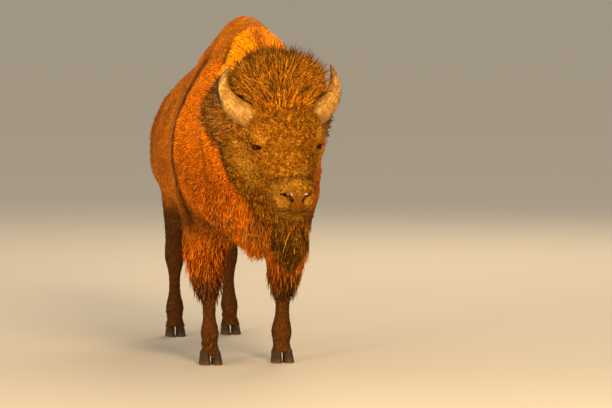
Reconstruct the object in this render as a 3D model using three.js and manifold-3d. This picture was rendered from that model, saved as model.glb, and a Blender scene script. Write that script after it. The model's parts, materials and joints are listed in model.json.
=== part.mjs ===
// An adult bull American bison, life size, standing square with its head carried low.
// Millimetres, +Z up. The animal faces -Y, so its left side is +X.
//
// The flesh and coat are one smooth field (negative inside), blended from a trunk, a head, a neck,
// muscle masses and limbs. Region boxes part that body into its named pieces, each of which is
// polygonised on a lattice that suits its size. Horns, ears, eyes, hooves and tail are lofts.

import * as THREE from "three";
import { mergeVertices } from "three/addons/utils/BufferGeometryUtils.js";
import Module from "manifold-3d";

const wasm = await Module();
wasm.setup();

const GAP = 0.3; // clearance between neighbouring pieces
const BLEND = { flesh: 70, limb: 35, beardLock: 60, beard: 40 }; // widths of the soft joins

// ---- driving dimensions -----------------------------------------------------------------------

const HEAD = {
  poll: [35, -1325, 1372], // back of the skull, inside the neck
  pitch: 50, // degrees that the face slopes below the horizontal
  yaw: 7, // degrees that the head is turned to its left
  eye: { side: 155, along: 296, up: 52, radius: 22 },
};

// Stations of the trunk from the front of the neck to the rump, tips of the coat included.
// y, top, underside, half width, height of the widest level, squareness of the upper section
const TRUNK = [
  [-1230, 1560, 850, 272, 1210, 2.0],
  [-1100, 1634, 760, 305, 1170, 1.9],
  [-950, 1712, 690, 332, 1120, 1.8],
  [-780, 1770, 645, 352, 1080, 1.7],
  [-600, 1792, 622, 362, 1060, 1.64],
  [-420, 1765, 630, 366, 1050, 1.58],
  [-220, 1690, 645, 364, 1030, 1.58],
  [0, 1600, 660, 362, 1020, 1.73],
  [240, 1522, 685, 346, 1030, 1.96],
  [480, 1460, 735, 316, 1040, 2.08],
  [700, 1424, 805, 292, 1060, 2.08],
  [880, 1384, 850, 266, 1065, 2.0],
  [1030, 1312, 890, 226, 1070, 2.0],
];
const TRUNK_CAP = 110; // how far the rounded ends reach past the last stations
const UNDERSIDE_SQUARENESS = 2.35;

// Stations of the head, in its own frame: distance from the poll towards the nose,
// top, underside, half width, height of the widest level, squareness of the upper section
const FACE = [
  [-60, 160, -320, 285, -120, 2.0],
  [60, 172, -330, 262, -130, 2.0],
  [160, 164, -330, 236, -150, 2.1],
  [262, 146, -315, 204, -145, 2.3],
  [360, 122, -290, 172, -125, 2.35],
  [450, 100, -236, 138, -90, 2.35],
  [530, 80, -172, 112, -50, 2.4],
  [590, 58, -126, 92, -32, 2.6],
];
const FACE_CAP = 44;

const CORONET = 50; // height at which the hair of the legs ends
const LEG_CUT = { fore: 655, hind: 800 }; // height at which each leg leaves the trunk

// Joints of each limb of the left side: x, y, z, half thickness of the coated limb there
const FORELEG = [
  [222, -640, 1080, 140],
  [218, -575, 800, 132],
  [214, -590, 620, 124],
  [206, -604, 500, 94],
  [199, -612, 405, 64],
  [194, -604, 290, 50],
  [190, -594, 160, 53],
  [190, -618, 40, 57],
];
const HINDLEG = [
  [122, 820, 1100, 142],
  [136, 730, 900, 120],
  [130, 850, 730, 78],
  [138, 930, 610, 64],
  [145, 985, 515, 60],
  [150, 984, 400, 48],
  [154, 962, 170, 51],
  [156, 932, 40, 54],
];
const REAR_FOOT_STEP = 60; // the right hind foot stands this much further forward
const FORE_FOOT_STEP = -45; // and the right fore foot this much further forward

// Soft masses of the body: centre, radii along x, y, z
const MASSES = {
  shoulder: { centre: [215, -560, 1090], radii: [150, 250, 330], mirrored: true },
  ribs: { centre: [170, 60, 1040], radii: [192, 420, 330], mirrored: true },
  haunch: { centre: [144, 790, 1030], radii: [143, 240, 250], mirrored: true },
  hook: { centre: [176, 690, 1262], radii: [60, 90, 60], mirrored: true },
  buttock: { centre: [95, 1000, 1010], radii: [110, 125, 200], mirrored: true },
  gaskin: { centre: [148, 865, 860], radii: [86, 160, 170], mirrored: true },
  shank: { centre: [132, 900, 690], radii: [70, 118, 150], mirrored: true },
  mane: { centre: [20, -1090, 930], radii: [225, 240, 330] },
  nape: { centre: [14, -1130, 1400], radii: [230, 250, 190] },
  collar: { centre: [200, -1170, 1270], radii: [124, 170, 220], mirrored: true },
};
// Masses of the head, in its own frame, with the width of the join of each
const HEAD_MASSES = {
  hairDome: { centre: [0, 40, 116], radii: [246, 164, 164], join: 90 },
  forehead: { centre: [0, -150, 90], radii: [172, 210, 96], join: 60 },
  ruff: { centre: [160, -70, -95], radii: [106, 180, 135], join: 60 }, // hair behind the cheek
  brow: { centre: [138, -272, 84], radii: [40, 62, 30], join: 30 },
  muzzle: { centre: [0, -565, -16], radii: [94, 74, 72], join: 30 },
  chin: { centre: [0, -510, -122], radii: [84, 84, 56], join: 26 },
};

// Beard: x, y, z and half thickness of the lock from the chin to its tip
const BEARD = [
  [76, -1540, 900, 92],
  [78, -1545, 800, 96],
  [80, -1535, 700, 80],
  [80, -1520, 610, 50],
  [80, -1510, 550, 18],
];

const HORN = {
  // centre line in the head's frame: side, along towards the nose, up
  line: [
    [110, 144, 50],
    [184, 122, 70],
    [250, 66, 80],
    [288, -6, 94],
    [288, -58, 130],
    [260, -90, 176],
  ],
  base: 58,
  tip: 3.5,
  taper: 2.3, // the horn keeps its thickness near the base and thins towards the tip
};
const EAR = {
  line: [
    [190, 34, -70],
    [250, -14, -86],
    [300, -66, -100],
    [336, -118, -112],
  ],
  widths: [24, 48, 44, 8],
  thicknesses: [20, 21, 14, 5],
};
const TAIL = {
  line: [
    [0, 1070, 1250],
    [4, 1152, 1235],
    [8, 1196, 1140],
    [8, 1196, 1000],
    [4, 1176, 870],
  ],
  radii: [46, 38, 30, 24, 21],
  switch: [
    [5, 1180, 900],
    [3, 1172, 810],
    [1, 1164, 700],
    [0, 1160, 590],
  ],
  switchRadii: [27, 44, 40, 6],
};

const CLAW = {
  sides: 10,
  length: 138,
  width: 72,
  height: 68,
  offset: 27, // from the middle of the foot to the middle of the claw
  forward: 10, // from the last joint of the leg
  innerShare: 0.66, // the side that faces the other claw is flatter, and upright
  topShare: 0.7,
  slope: 22, // how far the top lies behind the sole
};
const HIND_CLAW_SHARE = 0.92;
const DEWCLAW = { radius: 17, length: 44, side: 25, back: 50, rise: 62, slant: 34 };

// ---- small mathematics ------------------------------------------------------------------------

const degrees = THREE.MathUtils.degToRad;
const vector = (values) => new THREE.Vector3(...values);

/** Smooth minimum of two distances, blending over a width. */
function blend(a, b, width) {
  const h = Math.max(width - Math.abs(a - b), 0) / width;
  return Math.min(a, b) - h * h * width * 0.25;
}

/** Smooth curves through the columns of a station table, as a function of the first column. */
function stationCurves(table) {
  const tangent = (i, column) => {
    const before = table[Math.max(i - 1, 0)];
    const after = table[Math.min(i + 1, table.length - 1)];
    return (after[column] - before[column]) / (after[0] - before[0]);
  };
  return (at) => {
    const x = THREE.MathUtils.clamp(at, table[0][0], table.at(-1)[0]);
    let i = 0;
    while (i < table.length - 2 && x > table[i + 1][0]) i += 1;
    const span = table[i + 1][0] - table[i][0];
    const t = (x - table[i][0]) / span;
    return table[0].slice(1).map((_, c) => {
      const column = c + 1;
      const rise = table[i + 1][column] - table[i][column];
      const m0 = tangent(i, column) * span;
      const m1 = tangent(i + 1, column) * span;
      return table[i][column] + t * (m0 + t * (3 * rise - 2 * m0 - m1 + t * (m0 + m1 - 2 * rise)));
    });
  };
}

/** Field of a straight loft with egg-shaped sections: x across, s along, z up. */
function loftField(table, cap) {
  const curves = stationCurves(table);
  const first = table[0][0];
  const last = table.at(-1)[0];
  return (x, s, z) => {
    const [top, underside, half, widest, squareness] = curves(s);
    const upper = z > widest;
    const height = upper ? top - widest : widest - underside;
    const power = upper ? squareness : UNDERSIDE_SQUARENESS;
    const past = Math.max(first - s, s - last, 0) / cap;
    const round = Math.abs(x / half) ** power + Math.abs((z - widest) / height) ** power;
    const share = (round + past ** power) ** (1 / power);
    return (share - 1) * Math.min(half, height);
  };
}

/** Field of an ellipsoid. */
function ellipsoidField({ centre, radii }) {
  const [cx, cy, cz] = centre;
  const [rx, ry, rz] = radii;
  return (x, y, z) => {
    const [a, b, c] = [(x - cx) / rx, (y - cy) / ry, (z - cz) / rz];
    const near = Math.hypot(a, b, c);
    const steep = Math.hypot(a / rx, b / ry, c / rz);
    return steep > 0 ? (near * (near - 1)) / steep : -Math.min(rx, ry, rz);
  };
}

/** Field of a limb: capsules with changing radius through a list of joints. */
function limbField(joints, width) {
  const bones = joints.slice(1).map((end, i) => {
    const start = joints[i];
    const along = vector(end.slice(0, 3)).sub(vector(start.slice(0, 3)));
    return { start, along, lengthSq: along.lengthSq(), grow: end[3] - start[3] };
  });
  return (x, y, z) => {
    let least = Infinity;
    for (const { start, along, lengthSq, grow } of bones) {
      const [px, py, pz] = [x - start[0], y - start[1], z - start[2]];
      const t = THREE.MathUtils.clamp(
        (px * along.x + py * along.y + pz * along.z) / lengthSq,
        0,
        1,
      );
      const away = Math.hypot(px - along.x * t, py - along.y * t, pz - along.z * t);
      least = blend(least, away - start[3] - grow * t, width);
    }
    return least;
  };
}

// ---- the body's field -------------------------------------------------------------------------

const headMatrix = new THREE.Matrix4().compose(
  vector(HEAD.poll),
  new THREE.Quaternion().setFromEuler(
    new THREE.Euler(degrees(HEAD.pitch), 0, degrees(HEAD.yaw), "ZYX"),
  ),
  new THREE.Vector3(1, 1, 1),
);
const headInverse = headMatrix.clone().invert();

const mirroredLimb = (joints) => joints.map(([x, y, z, r]) => [-x, y, z, r]);
const steppedLimb = (joints, step) =>
  joints.map(([x, y, z, r]) => [x, y + step * THREE.MathUtils.smoothstep(900 - z, 0, 700), z, r]);

const LEGS = {
  fore_left: FORELEG,
  fore_right: steppedLimb(mirroredLimb(FORELEG), FORE_FOOT_STEP),
  hind_left: HINDLEG,
  hind_right: steppedLimb(mirroredLimb(HINDLEG), -REAR_FOOT_STEP),
};

const trunkField = loftField(TRUNK, TRUNK_CAP);
const faceField = loftField(FACE, FACE_CAP);
const beardField = limbField(BEARD, BLEND.beardLock);
const legFields = Object.values(LEGS).map((joints) => limbField(joints, BLEND.limb));
const massFields = Object.values(MASSES).map((mass) => [ellipsoidField(mass), mass.mirrored]);
const headFields = Object.values(HEAD_MASSES).map((mass) => [ellipsoidField(mass), mass.join]);

/** The head alone, at a point of its own frame. */
function headField(x, y, z) {
  const side = Math.abs(x);
  return headFields.reduce(
    (least, [field, join]) => blend(least, field(side, y, z), join),
    faceField(x, -y, z),
  );
}

const probe = new THREE.Vector3();

/** The whole body with its coat, at a point of the part's frame. */
function bodyField(x, y, z) {
  let least = trunkField(x, y, z);
  for (const [field, mirrored] of massFields)
    least = blend(least, field(mirrored ? Math.abs(x) : x, y, z), BLEND.flesh);
  for (const field of legFields) least = blend(least, field(x, y, z), BLEND.flesh);
  probe.set(x, y, z).applyMatrix4(headInverse);
  least = blend(least, headField(probe.x, probe.y, probe.z), BLEND.flesh);
  return blend(least, beardField(x, y, z), BLEND.beard);
}

// ---- polygons from a field --------------------------------------------------------------------

/** Moves a point along the field's slope onto its surface, by at most the given reach. */
function settle(field, point, reach) {
  const step = 0.5;
  for (let round = 0; round < 2; round += 1) {
    const [x, y, z] = point;
    const value = field(x, y, z);
    const slope = new THREE.Vector3(
      field(x + step, y, z) - field(x - step, y, z),
      field(x, y + step, z) - field(x, y - step, z),
      field(x, y, z + step) - field(x, y, z - step),
    ).divideScalar(2 * step);
    const size = slope.length();
    if (size < 1e-3) return;
    const move = THREE.MathUtils.clamp(value / size, -reach, reach);
    point[0] -= (slope.x / size) * move;
    point[1] -= (slope.y / size) * move;
    point[2] -= (slope.z / size) * move;
  }
}

/** Closed mesh of a field's surface in a box: one vertex for each lattice cell that it crosses. */
function polygonise(field, low, high, cell) {
  const counts = low.map((v, a) => Math.ceil((high[a] - v) / cell[a]));
  const strides = [1, counts[0] + 1, (counts[0] + 1) * (counts[1] + 1)];
  const values = new Float32Array(strides[2] * (counts[2] + 1));
  const place = (i, a) => low[a] + i * cell[a];
  for (let k = 0; k <= counts[2]; k += 1)
    for (let j = 0; j <= counts[1]; j += 1)
      for (let i = 0; i <= counts[0]; i += 1) {
        const rim = [i, j, k].some((n, a) => n === 0 || n === counts[a]);
        const value = field(place(i, 0), place(j, 1), place(k, 2));
        values[i + j * strides[1] + k * strides[2]] = rim ? Math.max(value, 1) : value;
      }

  const positions = [];
  const vertexOf = new Int32Array(values.length).fill(-1);
  for (let k = 0; k < counts[2]; k += 1)
    for (let j = 0; j < counts[1]; j += 1)
      for (let i = 0; i < counts[0]; i += 1) {
        const sum = [0, 0, 0];
        let crossings = 0;
        for (let corner = 0; corner < 8; corner += 1)
          for (let a = 0; a < 3; a += 1) {
            if (corner & (1 << a)) continue;
            const at = [i + (corner & 1), j + ((corner >> 1) & 1), k + (corner >> 2)];
            const here = at[0] + at[1] * strides[1] + at[2] * strides[2];
            const [v0, v1] = [values[here], values[here + strides[a]]];
            if (v0 < 0 === v1 < 0) continue;
            at[a] += v0 / (v0 - v1);
            at.forEach((n, axis) => (sum[axis] += n));
            crossings += 1;
          }
        if (!crossings) continue;
        const point = sum.map((n, a) => place(n / crossings, a));
        const inside = [i, j, k].every((n, a) => n > 0 && n < counts[a] - 1);
        if (inside) settle(field, point, Math.min(...cell) / 3);
        vertexOf[i + j * strides[1] + k * strides[2]] = positions.length / 3;
        positions.push(...point);
      }

  const triangles = [];
  const spot = (v) => new THREE.Vector3().fromArray(positions, 3 * v);
  for (let k = 0; k < counts[2]; k += 1)
    for (let j = 0; j < counts[1]; j += 1)
      for (let i = 0; i < counts[0]; i += 1)
        for (let a = 0; a < 3; a += 1) {
          if ([i, j, k].some((n, axis) => axis !== a && n === 0)) continue;
          const here = i + j * strides[1] + k * strides[2];
          const [v0, v1] = [values[here], values[here + strides[a]]];
          if (v0 < 0 === v1 < 0) continue;
          const [b, c] = [strides[(a + 1) % 3], strides[(a + 2) % 3]];
          const ring = [here, here - b, here - b - c, here - c].map((n) => vertexOf[n]);
          if (v0 >= 0) ring.reverse();
          const [p, q, r, s] = ring;
          const short = spot(p).distanceTo(spot(r)) < spot(q).distanceTo(spot(s));
          triangles.push(...(short ? [p, q, r, p, r, s] : [q, r, s, q, s, p]));
        }
  return new THREE.BufferGeometry()
    .setAttribute("position", new THREE.Float32BufferAttribute(positions, 3))
    .setIndex(triangles);
}

// ---- solids -----------------------------------------------------------------------------------

/** A closed geometry as a manifold-3d solid. */
function solidOf(geometry) {
  const bare = new THREE.BufferGeometry()
    .setAttribute("position", geometry.getAttribute("position"))
    .setIndex(geometry.index);
  const merged = mergeVertices(bare, 1e-3);
  return new wasm.Manifold(
    new wasm.Mesh({
      numProp: 3,
      vertProperties: merged.attributes.position.array,
      triVerts: new Uint32Array(merged.index.array),
    }),
  );
}

/** A solid as a three.js geometry. */
function geometryOf(solid) {
  const { vertProperties, triVerts } = solid.getMesh();
  const geometry = new THREE.BufferGeometry()
    .setAttribute("position", new THREE.BufferAttribute(vertProperties, 3))
    .setIndex(new THREE.BufferAttribute(triVerts, 1));
  geometry.computeVertexNormals();
  return geometry;
}

/** The largest of the separate bodies of a solid. */
function mainBody(solid) {
  return solid.decompose().sort((a, b) => b.volume() - a.volume())[0];
}

/** A closed tube through rings of points, with its two ends capped flat. */
function loft(rings) {
  const sides = rings[0].length;
  const positions = rings.flat().flatMap((p) => p.toArray());
  const triangles = [];
  for (let r = 0; r < rings.length - 1; r += 1)
    for (let i = 0; i < sides; i += 1) {
      const [a, b] = [r * sides + i, r * sides + ((i + 1) % sides)];
      triangles.push(a, b, b + sides, a, b + sides, a + sides);
    }
  for (let i = 1; i < sides - 1; i += 1) {
    const last = (rings.length - 1) * sides;
    triangles.push(0, i + 1, i, last, last + i, last + i + 1);
  }
  return new THREE.BufferGeometry()
    .setAttribute("position", new THREE.Float32BufferAttribute(positions, 3))
    .setIndex(triangles);
}

/**
 * Rings of elliptical sections along a smooth line: widths across, thicknesses towards up.
 * When grown, every face moves out by that much, the two end caps too.
 */
function taperedRings({ points, steps, sides, widthAt, thicknessAt, up, grown }) {
  const line = new THREE.CatmullRomCurve3(points.map(vector), false, "centripetal");
  return Array.from({ length: steps + 1 }, (_, n) => {
    const t = n / steps;
    const along = line.getTangentAt(t);
    const across = new THREE.Vector3().crossVectors(up, along).normalize();
    const over = new THREE.Vector3().crossVectors(along, across);
    const push = n === 0 ? -grown : n === steps ? grown : 0;
    const middle = line.getPointAt(t).addScaledVector(along, push);
    return Array.from({ length: sides }, (__, i) => {
      const turn = (2 * Math.PI * i) / sides;
      return middle
        .clone()
        .addScaledVector(across, Math.cos(turn) * (widthAt(t) + grown))
        .addScaledVector(over, Math.sin(turn) * (thicknessAt(t) + grown));
    });
  });
}

/** Values of a short list, read at a share of its length and smoothly joined. */
function readAt(list) {
  const curve = new THREE.CatmullRomCurve3(
    list.map((v, i) => new THREE.Vector3(i, v, 0)),
    false,
    "centripetal",
  );
  return (t) => curve.getPoint(t).y;
}

// ---- pieces -----------------------------------------------------------------------------------

const toHead = ([side, along, up], sign = 1) => [sign * side, -along, up];
const placeOnHead = (geometry) => geometry.applyMatrix4(headMatrix);

/** A horn, or its socket when grown. */
function horn(sign, grown = 0) {
  const radius = (t) => THREE.MathUtils.lerp(HORN.base, HORN.tip, t ** HORN.taper);
  const rings = taperedRings({
    points: HORN.line.map((p) => toHead(p, sign)),
    steps: 11,
    sides: 10,
    widthAt: radius,
    thicknessAt: radius,
    up: new THREE.Vector3(0, -0.6, 0.8),
    grown,
  });
  return placeOnHead(loft(rings));
}

/** An ear: a flattened leaf of hair and gristle, or its socket when grown. */
function ear(sign, grown = 0) {
  const rings = taperedRings({
    points: EAR.line.map((p) => toHead(p, sign)),
    steps: 7,
    sides: 8,
    widthAt: readAt(EAR.widths),
    thicknessAt: readAt(EAR.thicknesses),
    up: new THREE.Vector3(0, -0.6, 0.8),
    grown,
  });
  return placeOnHead(loft(rings));
}

/** An eyeball, or its socket when grown. */
function eye(sign, grown = 0) {
  const { side, along, up, radius } = HEAD.eye;
  const ball = new THREE.SphereGeometry(radius + grown, 10, 7);
  return placeOnHead(ball.translate(sign * side, -along, up));
}

/** One claw of a cloven hoof on a flat sole, or its socket when grown. */
function claw([x, y], sign, share, grown = 0) {
  const rises = [0, 0.35, 0.7, 1];
  const rings = rises.map((rise, n) => {
    const top = THREE.MathUtils.lerp(1, CLAW.topShare, rise ** 0.8);
    const push = n === 0 ? -grown : n === rises.length - 1 ? grown : 0;
    return Array.from({ length: CLAW.sides }, (_, i) => {
      const turn = (2 * Math.PI * i) / CLAW.sides;
      const [across, back] = [Math.cos(turn), Math.sin(turn)];
      const wide = across * sign < 0 ? CLAW.innerShare : top;
      return new THREE.Vector3(
        x + sign * CLAW.offset * share + across * (wide * share * (CLAW.width / 2) + grown),
        y - CLAW.forward + rise * CLAW.slope + back * (top * share * (CLAW.length / 2) + grown),
        rise * CLAW.height * share + push,
      );
    });
  });
  return loft(rings);
}

/** A dewclaw: a short blunt cone that points down and back, or its socket when grown. */
function dewclaw([x, y, z], sign, grown = 0) {
  const reach = DEWCLAW.length / 2;
  const profile = [
    [0, -reach - grown],
    [DEWCLAW.radius * 0.6 + grown, -reach - grown],
    [DEWCLAW.radius + grown, 0],
    [DEWCLAW.radius * 0.8 + grown, reach + grown],
    [0, reach + grown],
  ].map(([radius, height]) => new THREE.Vector2(radius, height));
  const lean = Math.PI / 2 + degrees(DEWCLAW.slant);
  return new THREE.LatheGeometry(profile, 7)
    .rotateX(lean)
    .translate(x + sign * DEWCLAW.side, y + DEWCLAW.back, z + DEWCLAW.rise);
}

/** The tail's dock, and the switch of long hair below it, or their socket when grown. */
function tailPart(points, radii, grown = 0) {
  const rings = taperedRings({
    points,
    steps: 8,
    sides: 8,
    widthAt: readAt(radii),
    thicknessAt: readAt(radii),
    up: new THREE.Vector3(1, 0, 0),
    grown,
  });
  return loft(rings);
}

/** Region boxes, in order of claim. A piece is the body in its box less all earlier boxes. */
function box(centre, size, turn = new THREE.Matrix4()) {
  return { centre, size, turn };
}

function boxSolid({ centre, size, turn }, grown = 0) {
  const shape = new THREE.BoxGeometry(...size.map((s) => s + 2 * grown));
  return solidOf(shape.translate(...centre).applyMatrix4(turn));
}

const tilt = (degreesUp) => new THREE.Matrix4().makeRotationX(degrees(degreesUp));

// The region of a leg: how far it stands clear of the middle, its width and its height
const LEG_REGION = { clear: 5, width: 470, height: 900 };

/** The region of a leg, below a cut through [y, z] that slopes up towards the rear. */
function legBox(sign, [y, z], depth, slope) {
  const { clear, width, height } = LEG_REGION;
  return box(
    [sign * (clear + width / 2), 0, -height / 2],
    [width, depth, height],
    tilt(slope).setPosition(0, y, z),
  );
}

const LEG_LATTICE = { cell: [48, 52, 82], halfWidthInCells: 4.5, margin: 240, low: -40, high: 980 };

/**
 * The surface of one leg, in a box round its joints. The lattice is centred on the foot, so that
 * none of its upright planes grazes the flanks of the lower leg.
 */
function legSurface(name, region, joints) {
  const { cell, halfWidthInCells, margin, low, high } = LEG_LATTICE;
  const across = halfWidthInCells * cell[0];
  const middle = joints.at(-1)[0];
  const ys = joints.map((joint) => joint[1]);
  return {
    cell,
    low: [middle - across, Math.min(...ys) - margin, low],
    high: [middle + across, Math.max(...ys) + margin, high],
    regions: { [name]: region },
  };
}

// Levels along the body at which the trunk is parted, and a box that holds the whole animal
const CUTS = { front: -2200, neck: -965, withers: -150, loin: 470, rear: 1500 };
const ROOM = { width: 1400, length: 4400, height: 2600 };

const slab = (from, to) =>
  box([0, (from + to) / 2, ROOM.height / 2], [ROOM.width, to - from, ROOM.height]);
const BELOW_CORONET = box(
  [0, 0, CORONET - ROOM.height / 2],
  [ROOM.width, ROOM.length, ROOM.height],
);

/**
 * The body's surface is polygonised once for each group of pieces, in the box that it reaches,
 * and the group's regions then part it. Cells suit the size of the group's features.
 */
const SURFACES = [
  {
    cell: [68, 66, 66],
    low: [-480, -760, -860],
    high: [480, 620, 430],
    matrix: headMatrix,
    regions: {
      beard: box([80, -1640, 620], [360, 400, 400]),
      bonnet: box([0, 75, 305], [640, 330, 420], headMatrix),
      lower_jaw: box([0, -505, -208], [640, 410, 274], headMatrix),
      head: box([0, -335, 155], [900, 790, 790], headMatrix),
      neck: slab(CUTS.front, CUTS.neck),
    },
  },
  legSurface("foreleg_left", legBox(1, [-590, LEG_CUT.fore], 460, 0), LEGS.fore_left),
  legSurface("foreleg_right", legBox(-1, [-610, LEG_CUT.fore], 500, 0), LEGS.fore_right),
  legSurface("hindleg_left", legBox(1, [860, LEG_CUT.hind], 900, 14), LEGS.hind_left),
  legSurface("hindleg_right", legBox(-1, [860, LEG_CUT.hind], 900, 14), LEGS.hind_right),
  {
    cell: [102, 130, 106],
    low: [-480, -1200, 480],
    high: [480, 1300, 1920],
    regions: {
      shoulders_and_hump: slab(CUTS.neck + GAP, CUTS.withers),
      barrel: slab(CUTS.withers + GAP, CUTS.loin),
      hindquarters: slab(CUTS.loin + GAP, CUTS.rear),
    },
  },
];

const material = (color, roughness, metalness = 0) =>
  new THREE.MeshStandardMaterial({ color, roughness, metalness });
const COATS = {
  cape: material(0xa9682c, 0.85),
  bonnet: material(0x553519, 0.88),
  beard: material(0x3f2814, 0.9),
  short: material(0x6b4222, 0.8),
  leg: material(0x3d2615, 0.85),
  horn: material(0x9a8258, 0.42),
  hoof: material(0x2b221b, 0.5),
  eye: material(0x160c07, 0.12),
};
const COAT_OF = {
  beard: COATS.beard,
  lower_jaw: COATS.bonnet,
  bonnet: COATS.bonnet,
  head: COATS.bonnet,
  neck: COATS.cape,
  shoulders_and_hump: COATS.cape,
  barrel: COATS.short,
  hindquarters: COATS.short,
};

const bison = new THREE.Group();
bison.name = "american_bison";

function add(name, geometry, coat) {
  const mesh = new THREE.Mesh(geometry, coat);
  mesh.name = name;
  bison.add(mesh);
  return mesh;
}

const SIDES = { left: 1, right: -1 };

/** Makers of the pieces that stand in sockets of the body, by name. */
function fittedPieces() {
  const fitted = {
    tail: [(grown) => tailPart(TAIL.line, TAIL.radii, grown), COATS.short],
  };
  for (const [side, sign] of Object.entries(SIDES)) {
    fitted[`horn_${side}`] = [(grown) => horn(sign, grown), COATS.horn];
    fitted[`ear_${side}`] = [(grown) => ear(sign, grown), COATS.bonnet];
    fitted[`eye_${side}`] = [(grown) => eye(sign, grown), COATS.eye];
  }
  for (const [leg, joints] of Object.entries(LEGS)) {
    const foot = joints.at(-1);
    const share = leg.startsWith("hind") ? HIND_CLAW_SHARE : 1;
    for (const [side, sign] of Object.entries(SIDES)) {
      const spot = `${leg}_${side}`;
      fitted[`claw_${spot}`] = [(grown) => claw(foot, sign, share, grown), COATS.hoof];
      fitted[`dewclaw_${spot}`] = [(grown) => dewclaw(foot, sign, grown), COATS.hoof];
    }
  }
  return fitted;
}

/** The body's pieces: each region's share of its group's surface, less the sockets. */
function addFlesh(sockets) {
  const claimed = [...sockets, boxSolid(BELOW_CORONET)];
  const at = new THREE.Vector3();
  for (const { cell, low, high, matrix = new THREE.Matrix4(), regions } of SURFACES) {
    const field = (x, y, z) => {
      at.set(x, y, z).applyMatrix4(matrix);
      return bodyField(at.x, at.y, at.z);
    };
    const surface = solidOf(polygonise(field, low, high, cell).applyMatrix4(matrix));
    for (const [name, region] of Object.entries(regions)) {
      const piece = claimed.reduce(
        (left, taken) => left.subtract(taken),
        surface.intersect(boxSolid(region)),
      );
      add(name, geometryOf(mainBody(piece)), COAT_OF[name] ?? COATS.leg);
      claimed.push(boxSolid(region, GAP));
    }
  }
}

/** Moves the finished pieces so that the origin is the middle of the footprint, on the ground. */
function recentre() {
  const bounds = new THREE.Box3().setFromObject(bison);
  const centre = bounds.getCenter(new THREE.Vector3());
  for (const piece of bison.children)
    piece.geometry.translate(-centre.x, -centre.y, -bounds.min.z);
}

const fitted = fittedPieces();
addFlesh(Object.values(fitted).map(([make]) => solidOf(make(GAP))));
for (const [name, [make, coat]] of Object.entries(fitted)) add(name, make(0), coat);
const tailSwitch = solidOf(tailPart(TAIL.switch, TAIL.switchRadii));
const dockSocket = solidOf(tailPart(TAIL.line, TAIL.radii, GAP));
add("tail_switch", geometryOf(tailSwitch.subtract(dockSocket)), COATS.beard);
recentre();

export default bison;
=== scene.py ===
"""An American bison bull at life size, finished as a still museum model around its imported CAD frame.

Metres, +Z up. The animal faces -Y and its left side is +X. The frame's solids reach to the tips of the
coat: one skin is drawn from them, set in by the depth of the coat, and the coat grows on it in
tapered locks that follow the lie of the hair. Eyes, horns and hooves are pieces of their own.
"""

import json
import logging
import math
from contextlib import contextmanager
from dataclasses import dataclass, field
from enum import Enum, StrEnum
from typing import Callable, Iterable, Iterator

import bpy
import numpy as np
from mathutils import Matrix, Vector
from mathutils.bvhtree import BVHTree

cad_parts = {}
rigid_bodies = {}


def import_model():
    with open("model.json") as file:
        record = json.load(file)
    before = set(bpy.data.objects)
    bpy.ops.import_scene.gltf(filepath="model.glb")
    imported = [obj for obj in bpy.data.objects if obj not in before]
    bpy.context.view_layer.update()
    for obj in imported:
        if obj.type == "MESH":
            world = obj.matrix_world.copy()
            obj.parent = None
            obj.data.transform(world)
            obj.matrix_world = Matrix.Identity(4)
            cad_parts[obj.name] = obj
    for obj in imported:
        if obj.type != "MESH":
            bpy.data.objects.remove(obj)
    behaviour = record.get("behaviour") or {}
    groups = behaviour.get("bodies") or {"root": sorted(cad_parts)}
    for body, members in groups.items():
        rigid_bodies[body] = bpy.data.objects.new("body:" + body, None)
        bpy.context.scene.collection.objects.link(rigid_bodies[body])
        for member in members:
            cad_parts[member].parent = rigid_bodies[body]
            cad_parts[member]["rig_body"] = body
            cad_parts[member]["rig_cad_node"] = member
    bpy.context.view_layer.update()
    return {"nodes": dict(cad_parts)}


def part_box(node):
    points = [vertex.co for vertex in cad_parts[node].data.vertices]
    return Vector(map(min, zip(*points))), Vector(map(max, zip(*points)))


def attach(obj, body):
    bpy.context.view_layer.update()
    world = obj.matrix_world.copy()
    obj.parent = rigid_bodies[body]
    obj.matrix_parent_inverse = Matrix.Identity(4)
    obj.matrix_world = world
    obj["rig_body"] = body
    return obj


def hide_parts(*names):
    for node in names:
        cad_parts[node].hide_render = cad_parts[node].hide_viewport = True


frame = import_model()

LOG = logging.getLogger("bison")
Array = np.ndarray
Piece = bpy.types.Object
Socket = bpy.types.NodeSocket
Material = bpy.types.Material
Inputs = dict[int | str, object]
Place = tuple[float, float, float]
Line = tuple[Place, ...]
Table = tuple[tuple[float, float], ...]

FLESH = (
    "head", "bonnet", "lower_jaw", "beard", "neck", "shoulders_and_hump", "barrel", "hindquarters",
    "foreleg_left", "foreleg_right", "hindleg_left", "hindleg_right",
    "ear_left", "ear_right", "tail",
)
HORNS = ("horn_left", "horn_right")
EYES = ("eye_left", "eye_right")
DOWN = np.array([0.0, 0.0, -1.0])
WELD = 2e-5  # how near two vertices lie to be one, in metres


class Side(StrEnum):
    """The animal's own left and right."""

    LEFT = "left"
    RIGHT = "right"

    @property
    def sign(self) -> int:
        """The sign of x on this side."""
        return 1 if self is Side.LEFT else -1


class Foot(StrEnum):
    """The four feet."""

    FORE_LEFT = "fore_left"
    FORE_RIGHT = "fore_right"
    HIND_LEFT = "hind_left"
    HIND_RIGHT = "hind_right"


class Slot(StrEnum):
    """The finishes that the object's pieces have."""

    CAPE = "cape"
    BONNET = "bonnet"
    BEARD = "beard"
    SHORT = "short"
    LEG = "leg"
    HORN = "horn"
    EYE = "eye"
    HOOF = "hoof"


# ---- arithmetic ------------------------------------------------------------------------------


def unit(vectors: Array) -> Array:
    """Vectors of length one along the given ones."""
    return vectors / np.maximum(np.linalg.norm(vectors, axis=-1, keepdims=True), 1e-9)


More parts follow.
